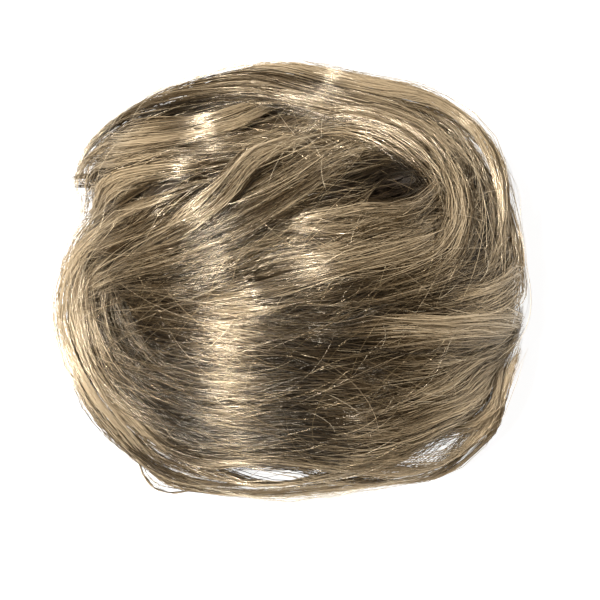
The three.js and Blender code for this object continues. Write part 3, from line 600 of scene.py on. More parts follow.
# Hairs, as bundles of points, radii and looks


def tapered(rng, count, rings, radius):
    """Radii of hairs, each of its own thickness, finer at both ends."""
    along = np.linspace(0, 1, rings)
    taper = np.clip(np.minimum(along, 1 - along) * TAPER_RATE + END_RADIUS, END_RADIUS, 1)
    return radius * rng.uniform(*HAIR_RADII, (count, 1)) * taper


def waves(rng, count, t, cycles):
    """Slow random waves along each hair, between about -1 and 1."""
    turn = rng.uniform(0, 2 * math.pi, (2, count, 1))
    pace = rng.uniform(*WAVE_PACE, (2, count, 1)) * cycles * 2 * math.pi
    slow = np.sin(turn[0] + pace[0] * t)
    quick = np.sin(turn[1] + QUICK_WAVE * pace[1] * t)
    return SLOW_SHARE * slow + (1 - SLOW_SHARE) * quick


def lock_hairs(lock, course, rng):
    """The hairs of a lock: clumps that run along its course and close towards its end, and a few strays."""
    width = lock["wide"] * LOCK_WIDTH / MM
    count = lock.get("hairs") or int(HAIRS_PER_MM * width * lock["fill"])
    rings = int(np.clip(course["length"] / HAIR_STEP, FEWEST_RINGS, MOST_RINGS))
    clumps = max(int(width * CLUMPS_PER_MM), FEWEST_CLUMPS)
    clump_u = (np.arange(clumps) + rng.uniform(0.1, 0.9, clumps)) / clumps
    clump_u = clump_u * (2 * CLUMP_REACH) - CLUMP_REACH
    up_or_down = np.where(rng.random(clumps) < UPPER_CLUMPS, 1, -1)
    clump_v = np.sqrt(1 - clump_u**2) * rng.uniform(0.3, 1, clumps) * up_or_down
    member = rng.integers(clumps, size=count)
    short = rng.random(count) < SHORT_HAIRS
    start = np.where(short, rng.uniform(*SHORT_START, count), rng.uniform(*LONG_START, count))
    early = rng.random(count) < EARLY_ENDS
    long_end = np.where(early, rng.uniform(*EARLY_END, count), rng.uniform(*LATE_END, count))
    end = np.where(short, start + rng.uniform(*SHORT_LENGTH, count), long_end)
    t = start[:, None] + (end - start)[:, None] * np.linspace(0, 1, rings)
    stray = (rng.random(count) < STRAY_HAIRS)[:, None]
    spread = np.where(stray, STRAY_SPREAD, CLUMP_SPREAD) * (1 - CLOSING * smooth(t))
    steps = np.linspace(0, 1, COURSE_STEPS)
    clump_sway = waves(rng, clumps, steps, CLUMP_CYCLES)
    clump_lift = waves(rng, clumps, steps, CLUMP_CYCLES)
    own = (member[:, None], (np.clip(t, 0, 1) * (COURSE_STEPS - 1)).astype(int))
    u = clump_u[member][:, None] + rng.normal(0, 1, (count, 1)) * spread + CLUMP_SWAY * clump_sway[own]
    u = u + np.where(stray, STRAY_SWAY, HAIR_SWAY) * waves(rng, count, t, HAIR_CYCLES)
    v = clump_v[member][:, None] + rng.normal(0, 1, (count, 1)) * spread
    v = v + np.where(stray, STRAY_LIFT, HAIR_LIFT) * waves(rng, count, t, HAIR_CYCLES)
    v = v + CLUMP_LIFT * clump_lift[own]
    twist = LOCK_TWIST * (t - 0.5)
    u, v = u * np.cos(twist) - v * np.sin(twist), u * np.sin(twist) + v * np.cos(twist)
    # Painted shade: hairs at the lock's edges and underside darker, the rest a little lighter
    tint = lock["tint"] + EDGE_SHADE / 5 - EDGE_SHADE * np.clip(u**2 - 0.5 * v, 0, 1.5)
    across, out, ahead = (along_course(course[axis], t) for axis in ("across", "out", "tangent"))
    beyond = (t - np.clip(t, 0, 1))[..., None] * course["length"]
    points = along_course(course["path"], t)
    points = points + across * (u * along_course(course["half_width"], t))[..., None]
    points = points + out * (v * along_course(course["half_thickness"], t))[..., None]
    points = points + ahead * beyond
    points = points - out * np.abs(beyond) * TIP_DROOP
    points[..., 2] = np.maximum(points[..., 2], LOWEST_HAIR)
    clump_look = rng.random(clumps)
    look = CLUMP_LOOK * clump_look[member] + (1 - CLUMP_LOOK) * rng.random(count)
    return dict(points=points, radii=tapered(rng, count, rings, HAIR_RADIUS), look=look, tint=tint)


class Flow:
    """The way the hair runs at any point of the dome, from the courses of the locks nearby."""

    def __init__(self, courses):
        self.places = np.concatenate([c["path"][::2] for c in courses])
        way = np.concatenate([c["tangent"][::2] for c in courses])
        self.ways = (way[:, :, None] * way[:, None, :]).reshape(-1, 9)

    def at(self, p):
        off = (p**2).sum(-1)[:, None] + (self.places**2).sum(-1)[None] - 2 * p @ self.places.T
        weight = np.exp(-np.maximum(off, 0) / (2 * FLOW_REACH**2)) + 1e-9 / (off + 1e-5)
        tensor = (weight @ self.ways).reshape(-1, 3, 3)
        return np.linalg.eigh(tensor)[1][:, :, 2]


def patch_seeds(rng, count, middle, spread):
    """Random points round one place of the plan, given in shares."""
    plan = np.clip(rng.normal(middle, spread, (count, 2)), -PATCH_LIMIT, PATCH_LIMIT)
    return np.concatenate([plan * [HALF_WIDTH, HALF_DEPTH], np.full((count, 1), CROWN_HEIGHT)], -1)


def dome_seeds(rng, count, low_reach, high_reach, below):
    """Random points round the dome: a share of them below the widest outline, the rest over the plan."""
    bearing = rng.uniform(0, 2 * math.pi, count)
    reach = np.sqrt(rng.uniform(low_reach**2, high_reach**2, count))
    low = rng.random(count) < below
    reach = np.where(low, 1, reach)
    height = np.where(low, rng.uniform(0.05, 1.2, count) * WIDEST_HEIGHT, CROWN_HEIGHT)
    c, s = np.cos(bearing), np.sin(bearing)
    ring = reach / reach_of(c, s, HALF_WIDTH, HALF_DEPTH)
    plan = np.stack([c * ring, s * ring], -1)
    rise = np.sqrt(np.clip(1 - reach**CROWN_POWER, 0, 1))
    top = WIDEST_HEIGHT + (CROWN_HEIGHT - WIDEST_HEIGHT) * rise
    return np.concatenate([plan, np.minimum(height, top)[:, None]], -1)


def lifted(depth, points, rise):
    """Points of hairs moved off the dome along its slope."""
    normal = unit(outward_slope(depth, points.reshape(-1, 3)).reshape(points.shape))
    return points + normal * rise[..., None]


def combed_hairs(rng, flow, seeds, depth, length, rings, drift, lift, tint):
    """Hairs that start at seeds and follow the flow over the dome at a depth, each with its own drift."""
    count = len(seeds)
    p = drawn_onto(depth, seeds.copy())
    way = flow.at(p) * rng.choice([-1, 1], (count, 1))
    bend = rng.normal(0, drift, (count, 1))
    step = length / (rings - 1)
    course = [p]
    for _ in range(rings - 1):
        normal = unit(outward_slope(depth, p))
        nearby = flow.at(p)
        nearby = nearby * np.where((nearby * way).sum(-1, keepdims=True) < 0, -1, 1)
        way = square_to(way * 0.5 + nearby * 0.5 + np.cross(normal, way) * bend * step, normal)
        p = drawn_onto(depth, p + way * step)
        course.append(p)
    points = np.stack(course, 1)
    along = np.linspace(0, 1, rings)
    rise = lift * rng.uniform(0, 1, (count, 1)) * np.sin(math.pi * along)
    rise = rise + COMBED_WAVE * waves(rng, count, along, COMBED_CYCLES)
    points = lifted(depth, points, rise)
    sunk = hollow_depth(points[..., 0], points[..., 1])
    points[..., 2] = np.maximum(points[..., 2] - sunk, LOWEST_HAIR)
    # Painted shade in the hollows
    tint = tint - HOLLOW_SHADE * np.minimum(sunk / CROWN_COVER, 1)
    return hair_bundle(rng, points, HAIR_RADIUS, tint)


def hair_bundle(rng, points, radius, tint):
    """Hairs along points, each with a thickness and a look of its own."""
    count, rings = points.shape[:2]
    radii = tapered(rng, count, rings, radius)
    return dict(points=points, radii=radii, look=rng.random(count), tint=tint)


def foot_hairs(rng, count, depth, low, high, inset, tint):
    """Hairs that run round the foot of the dome between two heights, or inset under it by shares."""
    along = np.linspace(0, 1, LOOSE_RINGS)
    sweep = rng.choice([-1, 1], (count, 1)) * rng.uniform(*FOOT_SWEEP, (count, 1))
    bearing = rng.uniform(0, 2 * math.pi, (count, 1)) + sweep * along
    height = rng.uniform(low, high, (count, 1)) + 0.3 * (high - low) * waves(rng, count, along, 1)
    fall = 1 - np.maximum(height, LOWEST_HAIR) / WIDEST_HEIGHT
    points = on_dome(depth, BEYOND_RIM * np.cos(bearing), BEYOND_RIM * np.sin(bearing), fall)
    points[..., :2] *= 1 - rng.uniform(0, inset, (count, 1, 1))
    return hair_bundle(rng, points, HAIR_RADIUS, tint)


def flyaway_hairs(rng, flow, seeds, depth, length, turn, curl, lift, tint, radius=FINE_HAIR_RADIUS):
    """Single hairs that have left their lock: arcs across the flow that lift off the dome and come back."""
    count, rings = len(seeds), LOOSE_RINGS
    p = drawn_onto(depth, seeds.copy())
    normal = unit(outward_slope(depth, p))
    way = flow.at(p) * rng.choice([-1, 1], (count, 1))
    angle = rng.normal(0, turn, (count, 1))
    way = way * np.cos(angle) + np.cross(normal, way) * np.sin(angle)
    bend = rng.normal(0, curl, (count, 1))
    step = length * rng.uniform(0.4, 1, (count, 1)) / (rings - 1)
    course = [p]
    for _ in range(rings - 1):
        normal = unit(outward_slope(depth, p))
        way = square_to(way + np.cross(normal, way) * bend * step, normal)
        p = drawn_onto(depth, p + way * step)
        course.append(p)
    points = np.stack(course, 1)
    along = np.linspace(0, 1, rings)
    points = lifted(depth, points, lift * rng.uniform(0.1, 1, (count, 1)) * np.sin(math.pi * along))
    points[..., 2] = np.maximum(points[..., 2], LOWEST_HAIR)
    return hair_bundle(rng, points, radius, tint)


# Meshes


def array_mesh(name, points, faces, loop_uv=None, looks=None):
    """A mesh object from arrays. faces: a list of arrays, each of polygons with one number of corners."""
    mesh = bpy.data.meshes.new(name)
    mesh.vertices.add(len(points))
    mesh.vertices.foreach_set("co", np.asarray(points, np.float32).ravel())
    corners = np.concatenate([f.ravel() for f in faces])
    sizes = np.concatenate([np.full(len(f), f.shape[1]) for f in faces])
    mesh.loops.add(len(corners))
    mesh.loops.foreach_set("vertex_index", corners.astype(np.int32))
    mesh.polygons.add(len(sizes))
    mesh.polygons.foreach_set("loop_start", (np.cumsum(sizes) - sizes).astype(np.int32))
    mesh.polygons.foreach_set("use_smooth", np.ones(len(sizes), bool))
    if loop_uv is not None:
        layer = mesh.uv_layers.new(name="OFBake")
        layer.data.foreach_set("uv", loop_uv.astype(np.float32).ravel())
    if looks is not None:
        layer = mesh.color_attributes.new("hair_look", "FLOAT_COLOR", "POINT")
        layer.data.foreach_set("color", looks.astype(np.float32).ravel())
    mesh.update(calc_edges=True)
    piece = bpy.data.objects.new(name, mesh)
    bpy.context.scene.collection.objects.link(piece)
    return piece


def hair_tubes(bundle, first_vertex, first_hair, cell):
    """Vertices, faces, bake places and looks of a bundle: pointed tubes with three sides."""
    points, radii = bundle["points"], bundle["radii"]
    count, rings = points.shape[:2]
    tangent = unit(np.gradient(points, axis=1))
    beside = unit(np.cross(tangent, np.array(SLANTED_WAY)))
    other = np.cross(tangent, beside)
    turn = np.arange(HAIR_SIDES) / HAIR_SIDES * 2 * math.pi
    ring = beside[:, :, None] * np.cos(turn)[:, None] + other[:, :, None] * np.sin(turn)[:, None]
    body = points[:, :, None] + ring * radii[:, :, None, None]
    root = points[:, 0] - tangent[:, 0] * HAIR_POINT
    tips = np.stack([root, points[:, -1] + tangent[:, -1] * HAIR_POINT], 1)
    vertices = np.concatenate([body.reshape(count, -1, 3), tips], 1)
    per_hair = rings * HAIR_SIDES + 2
    base = first_vertex + np.arange(count)[:, None, None] * per_hair
    i = np.arange(rings - 1)[:, None]
    k = np.arange(HAIR_SIDES)[None]
    n = (k + 1) % HAIR_SIDES
    here, there = i * HAIR_SIDES, (i + 1) * HAIR_SIDES
    quad = np.stack([here + k, here + n, there + n, there + k], -1)
    quads = (base[..., None] + quad).reshape(-1, 4)
    last = (rings - 1) * HAIR_SIDES
    tip = np.concatenate(
        [
            np.stack([n[0], k[0], np.full(HAIR_SIDES, per_hair - 2)], -1),
            np.stack([last + k[0], last + n[0], np.full(HAIR_SIDES, per_hair - 1)], -1),
        ]
    )
    tris = (base + tip).reshape(-1, 3)
    columns, rows = cell
    order = first_hair + np.arange(count)
    left = (order % columns) / columns
    low = (order // columns) / rows
    across = np.linspace(*STRIP_ENDS, rings) / columns
    u0 = left[:, None, None] + across[:-1][None, :, None] + np.zeros(HAIR_SIDES)
    u1 = left[:, None, None] + across[1:][None, :, None] + np.zeros(HAIR_SIDES)
    v0 = low[:, None, None] + STRIP_EDGE / rows + np.zeros_like(u0)
    v1 = v0 + STRIP_WIDTH / rows
    quad_uv = np.stack([u0, v0, u0, v1, u1, v1, u1, v0], -1).reshape(-1, 2)
    start_u = np.stack([across[0] + left, across[0] + left, across[0] / 2 + left], -1)
    end_u = np.stack([across[-1] + left, across[-1] + left, across[-1] + STRIP_TIP / columns + left], -1)
    tip_u = np.stack([start_u, end_u], 1)[:, :, None].repeat(HAIR_SIDES, 2).reshape(count, -1, 3)
    tip_corners = np.array([STRIP_EDGE, 1 - STRIP_EDGE, 0.5])
    tip_v = low[:, None, None] + tip_corners / rows + np.zeros_like(tip_u)
    tri_uv = np.stack([tip_u, tip_v], -1).reshape(-1, 2)
    share = np.linspace(0, 1, rings).repeat(HAIR_SIDES)
    looks = np.ones((count, per_hair, 4))
    looks[..., 0] = bundle["look"][:, None]
    looks[..., 1] = np.concatenate([share, [0, 1]])
    tint = bundle["tint"]
    looks[..., 2] = np.concatenate([tint.repeat(HAIR_SIDES, 1), tint[:, :1], tint[:, -1:]], 1)
    return vertices.reshape(-1, 3), quads, tris, quad_uv, tri_uv, looks.reshape(-1, 4)


def with_painted_light_and_shade(tint, points):
    """The tint of hairs at each point, with the painted light and shade of each place added."""
    tint = np.array(tint, float)
    if tint.ndim == 0:
        tint = np.full(points.shape[:2], float(tint))
    for at, spread, change in PAINTED_LIGHT_AND_SHADE:
        tint = tint + change * nearness(points[..., 0], points[..., 1], at, spread)
    return tint


def dipped(points):
    """Points of the upper half, lowered where the hair dips."""
    upper = smooth(points[..., 2] / WIDEST_HEIGHT - 1)
    for at, spread, fall in DIPS:
        points[..., 2] -= fall * upper * nearness(points[..., 0], points[..., 1], at, spread)
    return points


def dented(points):
    """Points with the rim pressed in at the dents."""
    plan = points[..., :2]
    reach = np.linalg.norm(plan, axis=-1)
    round_rim = np.degrees(np.arctan2(plan[..., 1], plan[..., 0]))
    press = 0
    for bearing, spread, push in DENTS:
        off = (round_rim - bearing + 180) % 360 - 180
        press = press + push * np.exp(-((off / spread) ** 2))
    press = press * np.clip(reach / HALF_DEPTH, 0, 1) ** DENT_POWER
    points[..., :2] -= plan / np.maximum(reach, MM)[..., None] * press[..., None]
    return points


def parted(points, partings):
    """Hairs bent round the partings, each to the side that most of it lies on."""
    for at, angle, half_length, push in partings:
        way = math.radians(angle)
        along = np.array([math.cos(way), math.sin(way)])
        beside = np.array([-along[1], along[0]])
        plan = points[..., :2] - np.array(at) * [HALF_WIDTH, HALF_DEPTH]
        u, v = plan @ along, plan @ beside
        weight = np.exp(-((u / half_length) ** 2))
        nearest = (weight / (np.abs(v) + MM)).argmax(1)
        which = np.where(np.take_along_axis(v, nearest[:, None], 1) < 0, -1, 1)
        gap = push * weight
        shift = which * (np.sqrt(v**2 + gap**2) - np.abs(v))
        points[..., :2] += shift[..., None] * beside
    return points


def hair_piece(name, bundles, material, partings=PARTINGS):
    """One piece from bundles of hairs, each hair with a strip of its own in the baked colours."""
    total = sum(len(b["look"]) for b in bundles)
    columns = max(math.ceil(total / STRIPS_IN_A_COLUMN), 1)
    cell = (columns, math.ceil(total / columns))
    made = []
    first_vertex = first_hair = 0
    for bundle in bundles:
        # Painted light and shade go into each hair's tint
        bundle["tint"] = with_painted_light_and_shade(bundle["tint"], bundle["points"])
        bundle["points"] = dipped(dented(parted(bundle["points"], partings)))
        made.append(hair_tubes(bundle, first_vertex, first_hair, cell))
        first_vertex += len(made[-1][0])
        first_hair += len(bundle["look"])
    vertices, quads, tris, quad_uv, tri_uv, looks = (np.concatenate(part) for part in zip(*made))
    uv = np.concatenate([quad_uv, tri_uv])
    piece = array_mesh(name, vertices, [quads, tris], uv, looks)
    piece.data.materials.append(material)
    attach(piece, "root")
    return piece


def closed_tubes(name, tubes):
    """One mesh of closed tubes, each of rings of equal count with a middle point at either end."""
    points, quads, fans = [], [], []
    first = 0
    for rings in tubes:
        rings = np.asarray(rings)
        count, sides = rings.shape[:2]
        last = (count - 1) * sides
        i = np.arange(count - 1)[:, None] * sides
        k = np.arange(sides)[None]
        n = (k + 1) % sides
        quads.append(first + np.stack([i + k, i + n, i + sides + n, i + sides + k], -1).reshape(-1, 4))
        fans.append(first + np.stack([n[0], k[0], np.full(sides, count * sides)], -1))
        fans.append(first + np.stack([last + k[0], last + n[0], np.full(sides, count * sides + 1)], -1))
        points += [rings.reshape(-1, 3), rings[0].mean(0)[None], rings[-1].mean(0)[None]]
        first += count * sides + 2
    return array_mesh(name, np.concatenate(points), [np.concatenate(quads), np.concatenate(fans)])


# Finishes


def linear(red, green, blue):
    """A colour given as 0 to 255, as linear light."""
    shares = [c / 255 for c in (red, green, blue)]
    return tuple(c / 12.92 if c <= 0.04045 else ((c + 0.055) / 1.055) ** 2.4 for c in shares) + (1,)


def new_group(name, inputs, outputs):
    group = bpy.data.node_groups.new(name, "ShaderNodeTree")
    for label, kind, value in inputs:
        socket = group.interface.new_socket(name=label, in_out="INPUT", socket_type=kind)
        socket.default_value = value
    for label, kind in outputs:
        group.interface.new_socket(name=label, in_out="OUTPUT", socket_type=kind)
    return group


class Nodes:
    """Short hands for placing and joining nodes in one tree."""

    def __init__(self, tree):
        self.tree = tree

    def add(self, kind, **settings):
        node = self.tree.nodes.new(kind)
        for key, value in settings.items():
            setattr(node, key, value)
        return node

    def join(self, source, target):
        self.tree.links.new(source, target)

    def put(self, target, value):
        if isinstance(value, bpy.types.NodeSocket):
            self.join(value, target)
        else:
            target.default_value = value

    def math(self, operation, a, b=0.0, clamp=False):
        node = self.add("ShaderNodeMath", operation=operation, use_clamp=clamp)
        self.put(node.inputs[0], a)
        self.put(node.inputs[1], b)
        return node.outputs[0]

    def mix(self, share, a, b, blend="MIX"):
        node = self.add("ShaderNodeMix", data_type="RGBA", blend_type=blend)
        self.put(node.inputs[0], share)
        self.put(node.inputs[6], a)
        self.put(node.inputs[7], b)
        return node.outputs[2]


def hair_colour_group():
    """Colour and roughness of a hair from its own look, its lock's tint and the place along it."""
    group = new_group(
        "Hair colour",
        [
            ("Deep Colour", "NodeSocketColor", (0.05, 0.04, 0.03, 1)),
            ("Middle Colour", "NodeSocketColor", (0.2, 0.15, 0.1, 1)),
            ("Light Colour", "NodeSocketColor", (0.5, 0.4, 0.3, 1)),
            ("Variation", "NodeSocketFloat", 0.5),
        ],
        [
            ("Colour", "NodeSocketColor"),
            ("Roughness", "NodeSocketFloat"),
            ("Metallic", "NodeSocketFloat"),
        ],
    )
    nodes = Nodes(group)
    given = nodes.add("NodeGroupInput")
    result = nodes.add("NodeGroupOutput")
    look = nodes.add("ShaderNodeAttribute", attribute_name="hair_look")
    parts = nodes.add("ShaderNodeSeparateColor")
    nodes.join(look.outputs["Color"], parts.inputs[0])
    own, along, tint = parts.outputs
    offset = nodes.math("MULTIPLY", nodes.math("SUBTRACT", own, 0.5), given.outputs["Variation"])
    lightness = nodes.math("ADD", tint, offset, clamp=True)
    tip = nodes.math("MULTIPLY", nodes.math("POWER", along, 3.0), TIP_LIGHTENING)
    lightness = nodes.math("ADD", lightness, tip, clamp=True)
    lower = nodes.math("MULTIPLY", lightness, 2.0, clamp=True)
    lower = nodes.mix(lower, given.outputs[0], given.outputs[1])
    upper = nodes.math("MULTIPLY", nodes.math("SUBTRACT", lightness, 0.5), 2.0, clamp=True)
    nodes.join(nodes.mix(upper, lower, given.outputs[2]), result.inputs["Colour"])
    shade = nodes.math("SUBTRACT", 1.0, lightness)
    rough = nodes.math("ADD", nodes.math("MULTIPLY", own, OWN_ROUGHNESS), LEAST_ROUGHNESS)
    rough = nodes.math("ADD", rough, nodes.math("MULTIPLY", shade, SHADE_ROUGHNESS))
    nodes.join(rough, result.inputs["Roughness"])
    metallic = nodes.math("ADD", nodes.math("MULTIPLY", shade, SHADE_METALLIC), LEAST_METALLIC)
    nodes.join(metallic, result.inputs["Metallic"])
    return group


def new_finish(name):
    material = bpy.data.materials.new(name)
    material.use_nodes = True
    nodes = Nodes(material.node_tree)
    return material, nodes, material.node_tree.nodes["Principled BSDF"]


def add_relief(nodes, shader, height, strength, distance):
    """A bump of the surface from a height that changes over it."""
    bump = nodes.add("ShaderNodeBump")
    bump.inputs["Strength"].default_value = strength
    bump.inputs["Distance"].default_value = distance
    nodes.join(height, bump.inputs["Height"])
    nodes.join(bump.outputs[0], shader.inputs["Normal"])


def hair_finish(name, group, deep, middle, light, variation, refraction):
    """Glossy hair between a deep, a middle and a light colour."""
    material, nodes, shader = new_finish(name)
    colour = nodes.add("ShaderNodeGroup", node_tree=group)
    colour.inputs["Deep Colour"].default_value = linear(*deep)
    colour.inputs["Middle Colour"].default_value = linear(*middle)
    colour.inputs["Light Colour"].default_value = linear(*light)
    colour.inputs["Variation"].default_value = variation
    nodes.join(colour.outputs["Colour"], shader.inputs["Base Color"])
    nodes.join(colour.outputs["Roughness"], shader.inputs["Roughness"])
    nodes.join(colour.outputs["Metallic"], shader.inputs["Metallic"])
    shader.inputs["IOR"].default_value = refraction
    shader.inputs["Specular Tint"].default_value = GLOSS_TINT
    return material


def under_hair_finish():
    """The hair of the under-layer: dark as painted shade, with fine streaks."""
    material, nodes, shader = new_finish("under_hair")
    place = nodes.add("ShaderNodeTexCoord")
    stretch = nodes.add("ShaderNodeMapping")
    stretch.inputs["Scale"].default_value = (60, 900, 500)
    nodes.join(place.outputs["Object"], stretch.inputs["Vector"])
    streak = nodes.add("ShaderNodeTexNoise")
    streak.inputs["Scale"].default_value = 3
    streak.inputs["Detail"].default_value = 4
    nodes.join(stretch.outputs[0], streak.inputs["Vector"])
    colour = nodes.mix(streak.outputs["Fac"], linear(38, 28, 19), linear(72, 56, 38))
    nodes.join(colour, shader.inputs["Base Color"])
    add_relief(nodes, shader, streak.outputs["Fac"], 0.6, 0.3 * MM)
    shader.inputs["Roughness"].default_value = 0.6
    return material


def net_finish():
    """Fine brown net of lighter, raised threads."""
    material, nodes, shader = new_finish("brown_net")
    place = nodes.add("ShaderNodeTexCoord")
    mesh = nodes.add("ShaderNodeTexVoronoi", feature="DISTANCE_TO_EDGE")
    mesh.inputs["Scale"].default_value = 700
    nodes.join(place.outputs["Object"], mesh.inputs["Vector"])
    thread = nodes.math("LESS_THAN", mesh.outputs["Distance"], 0.12)
    colour = nodes.mix(thread, linear(58, 45, 33), linear(124, 101, 76))
    nodes.join(colour, shader.inputs["Base Color"])
    add_relief(nodes, shader, thread, 0.7, 0.25 * MM)
    shader.inputs["Roughness"].default_value = 0.85
    return material


def comb_finish():
    """Brown moulded plastic with a slight cloud in it."""
    material, nodes, shader = new_finish("brown_plastic")
    place = nodes.add("ShaderNodeTexCoord")
    cloud = nodes.add("ShaderNodeTexNoise")
    cloud.inputs["Scale"].default_value = 120
    nodes.join(place.outputs["Object"], cloud.inputs["Vector"])
    colour = nodes.mix(cloud.outputs["Fac"], linear(60, 40, 27), linear(104, 73, 48))
    nodes.join(colour, shader.inputs["Base Color"])
    shader.inputs["Roughness"].default_value = 0.3
    return material


def floor_finish():
    """A pale floor that is lit so evenly that it glows."""
    material, _, shader = new_finish("lit_pale_floor")
    shader.inputs["Base Color"].default_value = (0.25, 0.25, 0.25, 1)
    shader.inputs["Roughness"].default_value = 0.9
    shader.inputs["Emission Color"].default_value = (1, 1, 1, 1)
    shader.inputs["Emission Strength"].default_value = 0.93
    return material


# Pieces


def mass_body(material):
    """The under-layer as one hollow body: a dome over the cap's room with a flat foot."""
    sides = BODY_SIDES
    bearing = np.arange(sides) / sides * 2 * math.pi
    c, s = np.cos(bearing), np.sin(bearing)
    half_x, half_y, top = dome_sizes(BODY_DEPTH)
    edge = 1 / reach_of(c, s, half_x, half_y)
    rings = []
    for climb in np.linspace(math.pi / 2 * BODY_CLIMB, 0, 22):
        share = math.cos(climb)
        height = WIDEST_HEIGHT + (top - WIDEST_HEIGHT) * math.sqrt(1 - share**CROWN_POWER)
        x, y = c * edge * share, s * edge * share
        rings.append(np.stack([x, y, height - hollow_depth(x, y)], -1))
    for fall in np.linspace(0.15, 1, 7):
        share = 1 - RIM_TUCK / half_x * fall**2
        height = WIDEST_HEIGHT * (1 - fall) + BODY_FOOT * fall
        rings.append(np.stack([c * edge * share, s * edge * share, np.full(sides, height)], -1))
    rings = [dipped(dented(ring)) for ring in rings]
    for climb in np.linspace(0, math.pi / 2 * BODY_CLIMB, 16):
        share = math.cos(climb)
        height = (CAP_HEIGHT + CAP_GAP) * math.sin(climb) + BODY_FOOT
        x = (CAP_WIDTH / 2 + CAP_GAP) * c * share
        y = (CAP_DEPTH / 2 + CAP_GAP) * s * share
        rings.append(np.stack([x, y, np.full(sides, height)], -1))
    body = closed_tubes("hair_mass_body", [rings[::-1]])
    body.data.materials.append(material)
    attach(body, "root")
    return body


def cap_net(material):
    """The net as a thin shell, with the rows of sewn hair as ridges round its inside."""
    sides = NET_SIDES
    bearing = np.arange(sides) / sides * 2 * math.pi
    c, s = np.cos(bearing), np.sin(bearing)
    rings = []

    def ring(inset, climb):
        share = math.cos(climb)
        x, y = (CAP_WIDTH / 2 - inset) * c * share, (CAP_DEPTH / 2 - inset) * s * share
        height = (CAP_HEIGHT - inset) * math.sin(climb)
        rings.append(np.stack([x, y, np.full(sides, max(height, LOWEST_NET))], -1))

    for climb in np.linspace(math.pi / 2 * NET_CLIMB, 0, 24):
        ring(0, climb)
    ring(CAP_WALL / 2, 0)
    for climb in np.linspace(0, math.pi / 2 * NET_CLIMB, 130):
        row = max(math.sin(climb * SEWN_ROW_PACE), 0) ** 0.5
        ring(CAP_WALL * 0.5 + CAP_WALL * SEWN_ROW_HEIGHT * row * math.cos(climb), climb)
    cap = closed_tubes("cap_net", [rings[::-1]])
    cap.data.materials.append(material)
    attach(cap, "root")
    return cap


def rod(points, beside, half_widths, half_thicknesses, sides=10):
    """Rings of a rounded bar along points, wide along one side."""
    tangent = unit(np.gradient(points, axis=0))
    flat = square_to(beside, tangent)
    other = np.cross(tangent, flat)
    turn = np.arange(sides) / sides * 2 * math.pi
    wide = flat[:, None] * (np.cos(turn)[:, None] * half_widths[:, None, None])
    thick = other[:, None] * (np.sin(turn)[:, None] * half_thicknesses[:, None, None])
    return points[:, None] + wide + thick


def comb_piece(material):
    """A curved spine with rounded, tapering teeth, as one mesh."""
    seat = CAP_WALL + CAP_GAP + COMB_THICKNESS / 2
    half_x, half_y, top = CAP_WIDTH / 2 - seat, CAP_DEPTH / 2 - seat, CAP_HEIGHT - seat

    def place(along, height):
        bearing = -math.pi / 2 + along / half_x
        share = np.sqrt(1 - (height / top) ** 2)
        x, y = half_x * share * np.cos(bearing), half_y * share * np.sin(bearing)
        return np.stack(np.broadcast_arrays(x, y, height), -1)

    teeth = int(COMB_WIDTH / COMB_TOOTH_PITCH)
    half_span = COMB_TOOTH_PITCH * teeth / 2
    root = COMB_BASE_HEIGHT + COMB_SPINE_HEIGHT / 2
    tip = COMB_BASE_HEIGHT + COMB_SPINE_HEIGHT + COMB_TOOTH_LENGTH
    full = np.clip(1 - np.linspace(-1, 1, SPINE_RINGS) ** 8, 0.15, 1)
    spine = place(np.linspace(-half_span, half_span, SPINE_RINGS), root)
    upright = np.array([0, 0, 1.0])
    bars = [rod(spine, upright, full * COMB_SPINE_HEIGHT / 2, full * COMB_THICKNESS / 2)]
    heights = root + (tip - root) * np.array(TOOTH_STEPS)
    taper = np.array(TOOTH_TAPER)
    for i in range(teeth + 1):
        along = COMB_TOOTH_PITCH * i - half_span
        beside = place(along + MM, root) - place(along - MM, root)
        line = place(along, heights)
        bars.append(rod(line, beside, taper * COMB_TOOTH_WIDTH / 2, taper * COMB_THICKNESS / 2))
    comb = closed_tubes("hair_comb", bars)
    comb.data.materials.append(material)
    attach(comb, "root")
    return comb


# Camera, light and floor


def add_camera():
    """Straight above, where the photograph was taken from, with a long lens."""
    width = PHOTO_PIXELS / PIXELS_PER_MM * MM
    camera = bpy.data.objects.new("camera", bpy.data.cameras.new("camera"))
    camera.data.sensor_width = SENSOR_WIDTH
    camera.data.lens = SENSOR_WIDTH * (CAMERA_HEIGHT - WIDEST_HEIGHT) / width
    camera.location = (
        (PHOTO_PIXELS / 2 - MIDDLE_PIXEL[0]) / PHOTO_PIXELS * width,
        (MIDDLE_PIXEL[1] - PHOTO_PIXELS / 2) / PHOTO_PIXELS * width,
        CAMERA_HEIGHT,
    )
    bpy.context.scene.collection.objects.link(camera)
    bpy.context.scene.camera = camera


def add_light(name, place, size, watts):
    """A soft light with two sides of given lengths, turned to the middle of the hairpiece."""
    light = bpy.data.lights.new(name, "AREA")
    light.shape = "RECTANGLE"
    light.size, light.size_y = size
    light.energy = watts
    lamp = bpy.data.objects.new(name, light)
    lamp.location = place
    back = (Vector(place) - Vector(LIT_MIDDLE)).normalized()
    right = Vector((0, 1, 0)).cross(back).normalized()
    lamp.rotation_euler = Matrix((right, back.cross(right), back)).transposed().to_euler()
    lamp.visible_camera = False
    bpy.context.scene.collection.objects.link(lamp)


def add_floor():
    """A wide pale floor under the hairpiece."""
    half = FLOOR_HALF
    corners = [(-half, -half, 0), (half, -half, 0), (half, half, 0), (-half, half, 0)]
    floor = array_mesh("floor", corners, [np.array([[0, 1, 2, 3]])])
    floor.data.materials.append(floor_finish())


